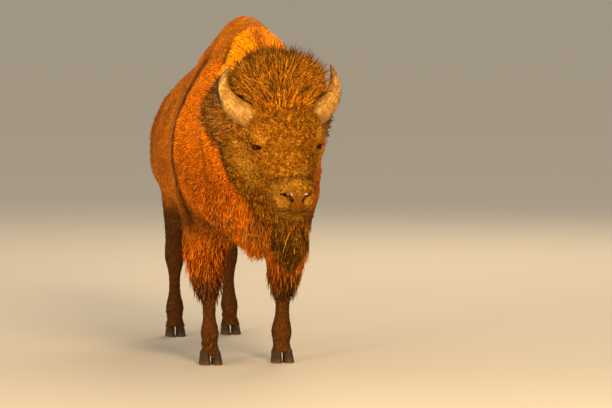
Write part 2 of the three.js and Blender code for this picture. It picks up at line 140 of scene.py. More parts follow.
def step(start: float, end: float, values: Array) -> Array:
    """Smooth rise from 0 where values reach start to 1 where they reach end, either way round."""
    share = np.clip((values - start) / (end - start), 0.0, 1.0)
    return share * share * (3.0 - 2.0 * share)


def bell(distances: Array, width: Array | float) -> Array:
    """1 at no distance, falling smoothly on both sides to nearly 0 at twice the width."""
    return np.exp(-((distances / width) ** 2))


def cloud(points: Array, centre: Place, reach: Place) -> Array:
    """1 at a centre, falling smoothly to nearly 0 at twice the reach along each axis."""
    away = (points - np.array(centre)) / np.array(reach)
    return np.exp(-(away**2).sum(1))


def read_off(table: Table, values: Array) -> Array:
    """A table's second column, read off at values of its first, straight between its rows."""
    return np.interp(values, *np.array(table).T)


def column(values: Array) -> Array:
    """A list of numbers as one column, to scale the rows of a list of vectors."""
    return values[:, None]


def tangent(vectors: Array, normals: Array) -> Array:
    """The directions of vectors, laid flat on surfaces with the given normals."""
    return unit(vectors - column((vectors * normals).sum(1)) * normals)


def flip(sign: int) -> Array:
    """Factors that carry a place on the left to the side where x has the given sign."""
    return np.array([sign, 1.0, 1.0])


def folded(points: Array) -> Array:
    """Points, with those on the animal's right mirrored to its left.

    Args:
        points: places in the room or in the head's axes.

    Returns:
        New places.
    """
    made = points.copy()
    made[:, 0] = np.abs(made[:, 0])
    return made


def to_line(points: Array, line: Line | Array) -> Array:
    """How far each point is from a line through some knots.

    Args:
        points: any places.
        line: the knots, in order.

    Returns:
        The distances.
    """
    least = np.full(len(points), np.inf)
    knots = np.array(line)
    for start, end in zip(knots[:-1], knots[1:]):
        run = end - start
        share = np.clip((points - start) @ run / (run @ run + 1e-12), 0.0, 1.0)
        least = np.minimum(least, np.linalg.norm(points - start - column(share) * run, axis=1))
    return least


@dataclass(frozen=True)
class Ripple:
    """A smooth field of gentle waves in space, from about -1 to 1, the same on each run."""

    wavelength: float
    seed: int
    waves: int = 7

    def at(self, points: Array) -> Array:
        """The field's value at each point.

        Args:
            points: any places.

        Returns:
            The values.
        """
        rng = np.random.default_rng(self.seed)
        ways = unit(rng.normal(size=(self.waves, 3)))
        pace = 2 * math.pi / (self.wavelength * rng.uniform(0.6, 1.5, self.waves))
        phase = rng.uniform(0, 2 * math.pi, self.waves)
        return np.sin(points @ (ways * column(pace)).T + phase).sum(1) / math.sqrt(self.waves)


@dataclass(frozen=True)
class HeadFrame:
    """The head's own axes: side to its left, along from the poll to the nose, up out of the brow."""

    poll: Place = (0.0314, -1.0627, 1.3720)
    pitch: float = 50.0
    yaw: float = 7.0

    @property
    def axes(self) -> Array:
        """The axes in the room.

        Returns:
            The side, along and up axes, one in each row.
        """
        pitch, yaw = math.radians(self.pitch), math.radians(self.yaw)
        ahead = np.array([math.sin(yaw), -math.cos(yaw), 0.0])
        side = np.array([math.cos(yaw), math.sin(yaw), 0.0])
        along = ahead * math.cos(pitch) + DOWN * math.sin(pitch)
        up = ahead * math.sin(pitch) - DOWN * math.cos(pitch)
        return np.array([side, along, up])

    def local(self, points: Array) -> Array:
        """Points of the room in the head's axes."""
        return (points - np.array(self.poll)) @ self.axes.T

    def world(self, points: Array) -> Array:
        """Points given in the head's axes, in the room."""
        return points @ self.axes + np.array(self.poll)

    def turned(self, vectors: Array) -> Array:
        """Directions given in the head's axes, in the room."""
        return vectors @ self.axes


HEAD = HeadFrame()


# ---- meshes ----------------------------------------------------------------------------------


def claws_of(foot: str = "") -> list[str]:
    """The frame's nodes for the claws and dewclaws of one foot, or of all of them."""
    return [name for name in frame["nodes"] if name.startswith(("claw", "dewclaw")) and foot in name]


def choose(pieces: Iterable[Piece]) -> None:
    """Selects just these pieces and makes the first the active one.

    Args:
        pieces: what to select.
    """
    bpy.ops.object.select_all(action="DESELECT")
    pieces = list(pieces)
    for piece in pieces:
        piece.select_set(True)
    bpy.context.view_layer.objects.active = pieces[0]


@contextmanager
def editing(piece: Piece) -> Iterator[None]:
    """Opens a piece in edit mode, selected all over, for the length of a block.

    Args:
        piece: the piece, which becomes the active one.

    Yields:
        Nothing.
    """
    choose([piece])
    bpy.ops.object.mode_set(mode="EDIT")
    bpy.ops.mesh.select_all(action="SELECT")
    yield
    bpy.ops.object.mode_set(mode="OBJECT")


def points_of(piece: Piece) -> Array:
    """The places of a piece's vertices.

    Args:
        piece: any mesh piece.

    Returns:
        One place in each row.
    """
    flat = np.empty(len(piece.data.vertices) * 3, np.float32)
    piece.data.vertices.foreach_get("co", flat)
    return flat.reshape(-1, 3).astype(float)


def set_points(piece: Piece, points: Array) -> None:
    """Moves a piece's vertices to the given places."""
    piece.data.vertices.foreach_set("co", points.astype(np.float32).ravel())
    piece.data.update()


def normals_of(piece: Piece) -> Array:
    """The smooth normals at a piece's vertices.

    Args:
        piece: any mesh piece.

    Returns:
        One normal in each row.
    """
    flat = np.empty(len(piece.data.vertices) * 3, np.float32)
    piece.data.vertex_normals.foreach_get("vector", flat)
    return flat.reshape(-1, 3).astype(float)


def store(mesh: bpy.types.Mesh, name: str, vectors: Array) -> None:
    """Keeps a vector for each vertex under a name that materials can read."""
    made = mesh.attributes.new(name, "FLOAT_VECTOR", "POINT")
    made.data.foreach_set("vector", vectors.astype(np.float32).ravel())


def copies_of(nodes: Iterable[str], name: str) -> Piece:
    """A new piece that joins copies of CAD nodes, with their loose triangles merged.

    Args:
        nodes: the names of the nodes.
        name: the new piece's name.

    Returns:
        The new piece, apart from the frame.
    """
    copies = []
    for node in nodes:
        copy = frame["nodes"][node].copy()
        copy.data = copy.data.copy()
        copy.parent = None
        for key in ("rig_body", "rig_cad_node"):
            if key in copy:
                del copy[key]
        bpy.context.collection.objects.link(copy)
        copies.append(copy)
    choose(copies)
    if len(copies) > 1:
        bpy.ops.object.join()
    piece = bpy.context.view_layer.objects.active
    piece.name = piece.data.name = name
    piece.data.materials.clear()
    with editing(piece):
        bpy.ops.mesh.remove_doubles(threshold=WELD)
    return piece


def apply_modifier(piece: Piece, kind: str, **settings: object) -> None:
    """Adds a modifier with its settings and applies it.

    Args:
        piece: the piece that it shapes.
        kind: the modifier's type.
        settings: its settings by name.
    """
    choose([piece])
    made = piece.modifiers.new(kind.lower(), kind)
    for key, value in settings.items():
        setattr(made, key, value)
    bpy.ops.object.modifier_apply(modifier=made.name)


class Neighbours:
    """The links between a mesh's vertices, for smoothing what they hold."""

    def __init__(self, piece: Piece) -> None:
        """Reads the links.

        Args:
            piece: the piece whose edges link its vertices.
        """
        flat = np.empty(len(piece.data.edges) * 2, np.int32)
        piece.data.edges.foreach_get("vertices", flat)
        pairs = flat.reshape(-1, 2)
        self.ends = np.concatenate([pairs[:, 0], pairs[:, 1]])
        self.others = np.concatenate([pairs[:, 1], pairs[:, 0]])
        self.count = len(piece.data.vertices)
        self.degree = np.maximum(np.bincount(self.ends, minlength=self.count), 1)

    def mean(self, values: Array) -> Array:
        """The mean of what each vertex's neighbours hold.

        Args:
            values: a number or a vector for each vertex.

        Returns:
            The means, in the same form.
        """
        sums = [
            np.bincount(self.ends, weights=part[self.others], minlength=self.count)
            for part in values.reshape(self.count, -1).T
        ]
        return (np.array(sums) / self.degree).T.reshape(values.shape)

    def relaxed(self, values: Array, rounds: int, share: Array | float = 0.5) -> Array:
        """Values drawn towards their neighbours' mean.

        Args:
            values: a number or a vector for each vertex.
            rounds: how many times they are drawn.
            share: how much of the way each time, for all or for each vertex.

        Returns:
            The new values.
        """
        pull = share if values.ndim == 1 or np.isscalar(share) else column(share)
        for _ in range(rounds):
            values = values + pull * (self.mean(values) - values)
        return values


def nearest(tree: BVHTree, points: Array) -> Array:
    """The nearest places of a surface to some points."""
    return np.array([tree.find_nearest(Vector(point))[0] for point in points])


# ---- the pelt: where each kind of coat grows ---------------------------------------------------


@dataclass(frozen=True)
class Streak:
    """A line on the coat in a colour of its own: painted shade along a fold, or paler hair."""

    line: Line
    width: float
    most: float = 1.0

    def at(self, points: Array) -> Array:
        """How strong the line's colour is at each point."""
        return self.most * bell(to_line(points, self.line), self.width)


@dataclass(frozen=True)
class Pelt:
    """Which share of each kind of coat covers a place of the body, from 0 to 1."""

    # Height above the ground, and how far back the woolly cape reaches at that height
    cape_edge: Table = (
        (0.55, -0.400), (0.72, -0.400), (0.84, -0.390), (0.91, -0.360), (0.97, -0.300), (1.03, -0.225),
        (1.09, -0.160), (1.15, -0.130), (1.21, -0.138), (1.28, -0.172), (1.36, -0.220), (1.45, -0.280),
        (1.55, -0.350), (1.64, -0.41), (1.80, -0.36),
    )
    # Height above the ground, and half the width of the painted shadow in the parting behind the cape
    parting: Table = (
        (0.60, 0.028), (0.80, 0.040), (1.00, 0.056), (1.13, 0.066),
        (1.25, 0.056), (1.35, 0.050), (1.60, 0.040),
    )
    # Height above the ground, and how far back the painted sunlit patch on the hump reaches
    gold_edge: Table = (
        (1.48, -0.860), (1.53, -0.790), (1.568, -0.735), (1.606, -0.680), (1.645, -0.640),
        (1.684, -0.615), (1.714, -0.605), (1.80, -0.590),
    )
    # How far along the head, and how low the head's own hair reaches there
    head_edge: Table = (
        (-0.30, 0.120), (-0.20, 0.030), (-0.164, -0.050), (-0.105, -0.070), (-0.061, -0.110),
        (-0.025, -0.130), (0.026, -0.145), (0.092, -0.172), (0.144, -0.190), (0.193, -0.245),
        (0.251, -0.295), (0.309, -0.330), (0.363, -0.360), (0.415, -0.417), (0.70, -0.60),
    )
    # Where the neck's hair ends and where the head's is full, along the body
    nape: tuple[float, float] = (-0.84, -0.90)
    # How far the cape's edge wanders, and the waves that it follows
    wander: float = 0.008
    edge_wave: Ripple = Ripple(0.12, 31)
    # How much the width and darkness of the parting's painted shadow change, and how dark it is in between
    width_change: float = 0.18
    width_wave: Ripple = Ripple(0.09, 32)
    parting_dark: float = 0.84
    parting_change: float = 0.14
    parting_wave: Ripple = Ripple(0.055, 33)
    # How much fainter the painted shade of the parting and the folds is on the left, which is stretched by
    # the turned neck
    faint: float = 0.72
    # Painted shade in the folds where the neck turns: beside the sunlit patch on the hump, and behind the
    # cheek
    folds: tuple[Streak, ...] = (
        Streak(((0.137, -0.650, 1.625), (0.154, -0.692, 1.590), (0.174, -0.736, 1.552)), 0.028, 0.85),
        Streak(((0.290, -0.875, 1.155), (0.275, -0.850, 1.078), (0.255, -0.805, 0.995)), 0.028, 0.85),
    )
    # Painted shade in the fold over the muzzle, in the head's axes, how dark it is and how much that changes
    wrinkle: Streak = Streak(
        ((0.0, 0.520, 0.086), (0.050, 0.517, 0.076), (0.088, 0.505, 0.045), (0.107, 0.489, 0.020)), 0.013
    )
    wrinkle_dark: float = 0.80
    wrinkle_change: float = 0.25
    wrinkle_wave: Ripple = Ripple(0.030, 17)
    # Painted shade where the nose pad meets the lip, in the head's axes
    pad_side: Streak = Streak(
        ((0.032, 0.625, 0.012), (0.033, 0.634, -0.016), (0.030, 0.638, -0.044)), 0.0055, 0.75
    )
    # Painted shade in the fold that runs back from the eye, in the head's axes
    slit: Streak = Streak(
        ((0.235, 0.171, -0.021), (0.221, 0.201, -0.014), (0.202, 0.229, -0.003), (0.190, 0.248, 0.008)),
        0.006,
        0.8,
    )
    # How dark the shadow is that the jaw's hair throws on the neck
    jaw_shadow: float = 0.7
    # The paler hair over the eye, and the middles and reaches of the paler cheek and lip
    brow_line: Streak = Streak(
        ((0.190, 0.205, 0.045), (0.165, 0.269, 0.095), (0.136, 0.300, 0.112)), 0.024
    )
    pale_spots: tuple[tuple[Place, Place], ...] = (
        ((0.185, 0.320, -0.100), (0.072, 0.130, 0.090)),
        ((0.080, 0.600, -0.014), (0.034, 0.040, 0.030)),
    )

    def cape_reach(self, points: Array) -> Array:
        """How far back the cape reaches at each point's height."""
        return read_off(self.cape_edge, points[:, 2]) + self.wander * self.edge_wave.at(points)

    def at(self, points: Array) -> dict[str, Array]:
        """The share of each kind of coat at each point.

        Args:
            points: places on or near the body.

        Returns:
            Lists of shares by the name of the kind.
        """
        x, y, z = points.T
        side, along, up = HEAD.local(points).T
        wide = np.abs(side)
        below = read_off(self.head_edge, along)
        head = step(-0.018, 0.018, up - below) * step(*self.nape, y)
        beard = head * step(-0.10, -0.155, up) * step(0.40, 0.50, along)
        crown = head * step(0.26, 0.06, along) * step(-0.03, 0.06, up)
        ruff = head * (1 - crown) * step(0.24, 0.06, along) * step(0.12, 0.18, wide)
        flank = head * (1 - crown) * step(0.150, 0.210, wide) * step(0.45, 0.30, along)
        jaw = head * (1 - beard) * (1 - ruff) * step(-0.17, -0.25, up) * step(0.56, 0.48, along)
        muzzle = head * (1 - beard) * step(0.44, 0.52, along)
        edge = self.cape_reach(points)
        gold = read_off(self.gold_edge, z)
        ear = self.ear(points)
        cape = (1 - head) * (1 - ear) * step(-0.018, -0.034, y - edge)
        throat = cape * step(1.02, 0.80, z) * step(-0.58, -0.72, y)
        shank = step(0.74, 0.58, z)
        fore = shank * step(-0.02, -0.10, y) * step(-0.70, -0.62, y) * (1 - head)
        hind = step(0.84, 0.66, z) * step(0.74, 0.90, y)
        belly = step(0.86, 0.74, z) * (1 - fore) * (1 - hind) * (1 - head) * step(-0.62, -0.50, y)
        tail = step(1.325, 1.345, y) * step(0.072, 0.052, np.abs(x))
        # The crest line: partly darker hair, partly painted shade of the hump's sharp top
        spine = cape * bell(x - 0.014, 0.028) * step(-0.60, -0.66, y)
        # Painted sunlight on the hump's sunlit patch
        high = cape * step(1.38, 1.54, z) * step(0.014, -0.020, y - gold)
        lee = (1 - head) * step(-0.30, -0.09, y - edge) * step(0.10, 0.03, y - edge)
        return {
            "head": head,
            "beard": beard,
            "crown": crown,
            "crest": crown * step(0.02, -0.14, along),
            "ruff": ruff,
            "flank": flank,
            "jaw": jaw,
            "muzzle": muzzle,
            "face": head * (1 - crown) * (1 - ruff) * (1 - beard),
            "brow": self.brow(points),
            "brim": head * step(0.40, 0.14, along) * step(-0.10, 0.02, up),
            # dark tips where the head's hair meets the neck, partly painted shadow
            "edge": head * step(0.10, 0.04, up - below) * step(0.30, 0.18, along) * step(0.14, 0.20, wide),
            "ear": ear,
            "cape": cape,
            "throat": throat,
            # painted sunlight on the hump, dimmer on the left
            "high": high * (1 - 0.5 * step(0.03, 0.07, x)),
            # darker hair along the crest, partly painted shade of the hump's top
            "ridge": np.maximum(cape * step(1.50, 1.62, z) * step(-0.012, 0.016, y - gold), spine),
            # painted shade on the lower part of the cape
            "dusk": cape * step(1.32, 0.85, z) * (1 - 0.6 * step(0.95, 0.75, z)),
            # painted shade in the parting, the folds and the face's wrinkles
            "crease": self.crease(points),
            "lee": lee * step(0.66, 0.80, z),
            "short": (1 - head) * (1 - cape) * (1 - fore) * (1 - hind) * (1 - tail) * (1 - ear),
            "fore": fore,
            "hind": hind,
            "chaps": fore * step(0.30, 0.44, z),
            "belly": belly,
            "tail": tail,
            "switch": tail * step(1.00, 0.90, z) * step(1.385, 1.40, y),
            "dock": tail * step(0.90, 1.00, z),
        }

    def crease(self, points: Array) -> Array:
        """How much painted shade each point has: 1 in the parting behind the cape and in the folds, 0
        elsewhere.

        Args:
            points: places on or near the body.

        Returns:
            The darkness of the painted shade.
        """
        x, y, z = points.T
        wide = read_off(self.parting, z) * (1 + self.width_change * self.width_wave.at(points))
        made = bell(y - self.cape_reach(points) + 0.35 * wide, wide)
        made = made * step(1.66, 1.54, z) * step(0.64, 0.80, z)
        made = made * (self.parting_dark + self.parting_change * self.parting_wave.at(points))
        made = np.maximum.reduce([made, *(fold.at(folded(points)) for fold in self.folds)])
        made = made * (1 - self.faint * step(-0.02, 0.06, x))
        local = folded(HEAD.local(points))
        broken = self.wrinkle_dark + self.wrinkle_change * self.wrinkle_wave.at(points)
        lines = (broken * self.wrinkle.at(local), self.pad_side.at(local), self.slit.at(local))
        _, along, up = local.T
        below = read_off(self.head_edge, along)
        jaw = bell(up - below + 0.005, 0.016) * step(0.10, 0.20, along) * step(0.46, 0.40, along)
        return np.maximum.reduce([made, *lines, self.jaw_shadow * jaw * step(*self.nape, y)])

    def depth(self, points: Array) -> Array:
        """How thick the coat lies on the skin at each point.

        Args:
            points: places on or near the body.

        Returns:
            The thickness in metres.
        """
        share = self.at(points)
        deep = 0.007 + 0.012 * share["cape"] + 0.020 * share["throat"] + 0.010 * share["belly"]
        deep += 0.055 * share["crown"] + 0.030 * share["ruff"] + 0.006 * share["jaw"]
        deep += 0.032 * share["beard"] + 0.016 * share["chaps"] - 0.005 * share["muzzle"]
        return deep * (1 - share["ear"]) + 0.004 * share["ear"]

    def brow(self, points: Array) -> Array:
        """1 on the palest hair of the face, over the eyes, on the cheeks and lips; 0 elsewhere.

        Args:
            points: places on or near the head.

        Returns:
            The shares.
        """
        local = folded(HEAD.local(points))
        spots = [cloud(local, centre, reach) for centre, reach in self.pale_spots]
        return np.maximum.reduce([self.brow_line.at(local), *spots])

    @staticmethod
    def ear(points: Array) -> Array:
        """1 on an ear, 0 elsewhere.

        Args:
            points: places on or near the body.

        Returns:
            The shares.
        """
        side, along, up = HEAD.local(points).T
        out = step(0.262, 0.29, np.abs(side)) * step(-0.125, -0.10, along)
        return out * step(0.03, 0.0, along) * step(-0.17, -0.14, up) * step(-0.04, -0.07, up)


PELT = Pelt()


# ---- the face: folds, lids, nostrils and lips --------------------------------------------------


@dataclass(frozen=True)
class Bulge:
    """A soft push on the skin at one place."""

    centre: Place
    reach: Place
    push: Place

    def moved(self, points: Array) -> Array:
        """The push at each point."""
        return column(cloud(points, self.centre, self.reach)) * np.array(self.push)


@dataclass(frozen=True)
class Swell(Bulge):
    """A soft push on the skin of both halves of the face, in the head's axes."""

    def moved(self, points: Array) -> Array:
        """The push at each point.

        Args:
            points: places in the head's axes.

        Returns:
            The pushes, mirrored on the right.
        """
        push = super().moved(folded(points))
        push[:, 0] *= np.sign(points[:, 0])
        return push


@dataclass(frozen=True)
class Furrow:
    """A groove along a line on both halves of the face, with a raised rim."""

    line: Line
    width: float
    depth: float
    rim: float = 0.0

    def distance(self, local: Array, tree: BVHTree, sign: int) -> Array:
        """How far each point is from the line, once the line is laid on the skin."""
        knots = np.array(self.line) * flip(sign)
        return to_line(local, HEAD.local(nearest(tree, HEAD.world(knots))))

    def height(self, distance: Array) -> Array:
        """How far the skin moves out at a distance from the line."""
        sunk = -self.depth * bell(distance, self.width)
        return sunk + self.rim * bell(distance - 2 * self.width, self.width)


@dataclass(frozen=True)
class EyeSocket:
    """The lids of an eye: a dome over the ball with an almond opening."""

    centre: Place = (0.155, 0.296, 0.052)
    radius: float = 0.0265
    gaze: Place = (1.0, 0.46, 0.12)
    corners: Place = (-0.377, 0.788, 0.490)
    half_length: float = 0.0370
    upper: float = 0.0096
    lower: float = 0.0080
    lid: float = 0.0032
    blend: float = 0.010
    welt: float = 0.0016
    fold: float = 0.0022

    def axes(self, sign: int) -> Array:
        """The axes of the lids, within the head's.

        Args:
            sign: 1 for the left eye, -1 for the right.

        Returns:
            The gaze, the line from the rear to the front corner, and the way up the lid.
        """
        gaze = unit(np.array(self.gaze) * flip(sign))
        corner = np.array(self.corners) * flip(sign)
        corner = unit(corner - (corner @ gaze) * gaze)
        lift = np.cross(gaze, corner) * -sign
        return np.array([gaze, corner, lift])

    def parts(self, local: Array, sign: int) -> tuple[Array, Array, Array, Array]:
        """Each point as outward, cornerward and upward parts, and its place in the almond.

        Args:
            local: points in the head's axes.
            sign: 1 for the left eye, -1 for the right.

        Returns:
            The three parts, and a number that is 1 on the edge of the opening and less inside.
        """
        away = local - np.array(self.centre) * flip(sign)
        out, corner, lift = (away @ self.axes(sign).T).T
        tall = np.where(lift > 0, self.upper, self.lower)
        waist = np.sqrt(np.clip(1 - (corner / self.half_length) ** 2, 0.0, 1.0))
        past = np.clip(np.abs(corner) / self.half_length - 1, 0.0, None)
        return out, corner, lift, np.abs(lift) / (tall * (waist + 0.06)) + 3 * past

    def moved(self, local: Array, sign: int) -> Array:
        """How far the skin's points move to shape the lids.

        Args:
            local: points in the head's axes.
            sign: 1 for the left eye, -1 for the right.

        Returns:
            The moves, in the head's axes.
        """
        out, corner, lift, edge = self.parts(local, sign)
        across = np.hypot(corner, lift)
        dome = np.sqrt(np.clip((self.radius + self.lid) ** 2 - across**2, 0.0, None))
        dome = np.where(across < self.radius + self.lid, dome, -1.0)
        lap = np.clip(0.5 + 0.5 * (dome - out) / self.blend, 0.0, 1.0)
        raised = out + lap * (dome - out) + self.blend * lap * (1 - lap) * 0.5
        raised += self.welt * bell(edge - 1.35, 0.28) * step(0.040, 0.032, across)
        above = step(0.0, 0.006, lift)
        raised -= self.fold * bell(edge - 2.5, 0.35) * above * step(0.042, 0.034, across)
        sunk = np.sqrt(np.clip((self.radius - 0.005) ** 2 - across**2, 0.0, None))
        opened = step(1.14, 0.94, edge)
        near = step(0.060, 0.045, across) * step(-0.004, 0.004, out)
        target = raised + opened * (sunk - raised)
        return column(near * (target - out)) * self.axes(sign)[0]


@dataclass(frozen=True)
class Face:
    """The features of the face, in the head's axes."""

    swells: tuple[Swell, ...] = (
        Swell((0.150, 0.290, 0.056), (0.055, 0.060, 0.055), (0.016, 0.0, 0.004)),  # orbit
        Swell((0.128, 0.245, 0.110), (0.040, 0.050, 0.030), (0.006, 0.0, 0.010)),  # brow
        Swell((0.175, 0.135, 0.075), (0.070, 0.060, 0.065), (0.046, 0.0, 0.008)),  # horn root
        Swell((0.112, 0.372, 0.050), (0.030, 0.035, 0.030), (-0.007, 0.0, -0.003)),  # tear pit
        Swell((0.0, 0.430, 0.110), (0.045, 0.120, 0.050), (0.0, 0.0, 0.008)),  # bridge
        Swell((0.165, 0.235, -0.110), (0.060, 0.080, 0.080), (0.008, 0.0, 0.0)),  # cheek
        Swell((0.085, 0.470, -0.040), (0.040, 0.045, 0.050), (-0.006, 0.0, 0.0)),  # before the cheek
        Swell((0.080, 0.580, 0.010), (0.035, 0.045, 0.040), (0.008, 0.002, 0.004)),  # nostril wing
        Swell((0.030, 0.640, -0.020), (0.060, 0.030, 0.035), (0.0, 0.007, 0.0)),  # upper lip
        Swell((0.018, 0.607, 0.046), (0.011, 0.013, 0.008), (0.0, 0.005, 0.004)),  # wet brim of the pad
        Swell((0.056, 0.601, 0.044), (0.014, 0.012, 0.008), (0.0, 0.007, 0.005)),  # brim of the nostril
        Swell((0.0, 0.610, -0.110), (0.070, 0.040, 0.030), (0.0, -0.006, 0.0)),  # lower lip
        Swell((0.0, 0.560, -0.150), (0.060, 0.040, 0.035), (0.0, 0.010, -0.004)),  # chin
    )
    hole: Furrow = Furrow(((0.036, 0.618, 0.018), (0.050, 0.608, 0.030)), 0.0085, 0.020, 0.0030)
    slit: Furrow = Furrow(
        ((0.048, 0.608, 0.030), (0.064, 0.598, 0.036), (0.080, 0.586, 0.037)), 0.0055, 0.010, 0.0014
    )
    mouth: Furrow = Furrow(
        (
            (0.0, 0.636, -0.052), (0.040, 0.630, -0.054), (0.070, 0.602, -0.082),
            (0.080, 0.560, -0.104), (0.086, 0.500, -0.112),
        ),
        0.0045, 0.009, 0.0016,
    )
    philtrum: Furrow = Furrow(((0.0, 0.640, 0.012), (0.0, 0.640, -0.040)), 0.0035, 0.0025, 0.0)
    wrinkles: tuple[Furrow, ...] = (
        Furrow(((0.020, 0.570, 0.082), (0.060, 0.566, 0.070), (0.088, 0.556, 0.044)), 0.005, 0.0022),
        Furrow(PELT.wrinkle.line, 0.009, 0.0070, 0.0035),
        Furrow(((0.090, 0.500, -0.020), (0.098, 0.540, -0.055)), 0.007, 0.0025),
    )
    socket: EyeSocket = EyeSocket()

    def bare(self, points: Array) -> dict[str, Array]:
        """Where the skin has no hair: the nose pad and lips, and the rims of the eyes.

        Args:
            points: places on the skin.

        Returns:
            Shares of wet nose leather, of dark skin round the eyes and of its bald part.
        """
        local = HEAD.local(points)
        side, along, up = local.T
        wide = np.abs(side)
        breadth = 0.031 + 0.26 * np.clip(up + 0.01, 0, 0.06)
        pad = ((wide / breadth) ** 2.4 + ((up - 0.006) / 0.040) ** 2) ** 0.5
        lip = step(0.074, 0.060, wide) * step(-0.026, -0.036, up) * step(-0.076, -0.066, up)
        wing = np.hypot((wide - 0.054) / 0.018, (up - 0.041) / 0.013)
        front = step(0.565, 0.592, along)
        pad = np.maximum.reduce([step(1.20, 0.80, pad), 0.8 * lip, step(1.2, 0.8, wing)])
        brim = bell(up - 0.047, 0.008) * step(0.068, 0.055, wide) * step(0.572, 0.588, along)
        nose = np.maximum(0.85 * front * pad, brim)
        rim, lash = np.zeros(len(points)), np.zeros(len(points))
        for sign in (-1, 1):
            out, corner, lift, _ = self.socket.parts(local, sign)
            near = step(0.050, 0.042, np.hypot(corner, lift)) * step(-0.01, 0.0, out)
            dark = np.hypot(corner / 0.045, lift / 0.0150)
            rim = np.maximum(rim, near * step(1.15, 0.85, dark))
            lash = np.maximum(lash, near * step(1.15, 0.95, dark))
        return {"nose": nose, "rim": rim, "lash": lash}

    def shadow(self, points: Array, tree: BVHTree) -> Array:
        """Painted shadow: 1 inside the nostrils and between the lips, 0 elsewhere.

        Args:
            points: places on the skin.
            tree: the skin's surface.

        Returns:
            The shares.
        """
        local = HEAD.local(points)
        made = np.zeros(len(points))
        for sign in (-1, 1):
            for furrow, reach in ((self.hole, 0.0125), (self.slit, 0.0100), (self.mouth, 0.0065)):
                away = furrow.distance(local, tree, sign)
                made = np.maximum(made, step(1.25 * reach, 0.75 * reach, away))
        return made

    def shape(self, points: Array, normals: Array, tree: BVHTree) -> Array:
        """Where the skin's points lie once the features are shaped.

        Args:
            points: places of the skin's vertices.
            normals: the skin's normals there.
            tree: the skin before the features.

        Returns:
            The new places.
        """
        local = HEAD.local(points)
        moved = local + sum(swell.moved(local) for swell in self.swells)
        grain = HEAD.axes @ normals.T
        height = np.zeros(len(points))
        for sign in (-1, 1):
            for furrow in (self.hole, self.slit, self.mouth, self.philtrum, *self.wrinkles):
                height += furrow.height(furrow.distance(local, tree, sign))
        for furrow in (self.mouth, self.philtrum):  # the two halves meet in the middle
            both = np.minimum(*(furrow.distance(local, tree, sign) for sign in (-1, 1)))
            twice = sum(furrow.height(furrow.distance(local, tree, sign)) for sign in (-1, 1))
            height += furrow.height(both) - twice
        moved = moved + grain.T * column(height)
        for sign in (-1, 1):
            moved = moved + self.socket.moved(moved, sign)
        return HEAD.world(moved)


FACE = Face()


# ---- the skin ----------------------------------------------------------------------------------


BULGES = (
    Bulge((0.00, -0.42, 1.78), (0.13, 0.28, 0.10), (0.004, 0.0, 0.012)),  # crest of the hump
    Bulge((0.11, -0.75, 1.66), (0.10, 0.25, 0.12), (0.016, 0.0, 0.012)),  # left of the crest
    Bulge((-0.15, -0.45, 1.66), (0.08, 0.22, 0.12), (0.013, 0.0, -0.006)),  # right of the crest
    Bulge((-0.22, 0.75, 1.44), (0.12, 0.35, 0.14), (-0.012, 0.0, 0.012)),  # loin
    Bulge((0.34, -0.45, 0.87), (0.10, 0.26, 0.22), (0.032, 0.0, 0.0)),  # the shoulder that bears weight
    Bulge((0.30, -0.62, 0.74), (0.10, 0.18, 0.13), (0.030, 0.0, 0.0)),  # the elbow below it
    Bulge((-0.15, -1.16, 1.57), (0.07, 0.08, 0.07), (0.026, 0.0, -0.030)),  # rim of the crown by the horn
    Bulge((0.22, 0.60, 0.80), (0.16, 0.16, 0.14), (-0.022, 0.0, 0.030)),  # left flank, drawn up
    Bulge((-0.22, 0.60, 0.80), (0.16, 0.16, 0.14), (0.022, 0.0, 0.030)),  # right flank, drawn up
    Bulge((0.26, 0.98, 0.92), (0.10, 0.14, 0.20), (0.020, 0.0, 0.0)),  # left thigh
    Bulge((-0.26, 0.98, 0.92), (0.10, 0.14, 0.20), (-0.012, 0.0, 0.0)),  # right thigh
    Bulge((0.20, 0.82, 1.38), (0.07, 0.09, 0.07), (0.010, 0.0, 0.008)),  # left hip bone
    Bulge((-0.20, 0.82, 1.38), (0.07, 0.09, 0.07), (-0.006, 0.0, 0.004)),  # right hip bone
)


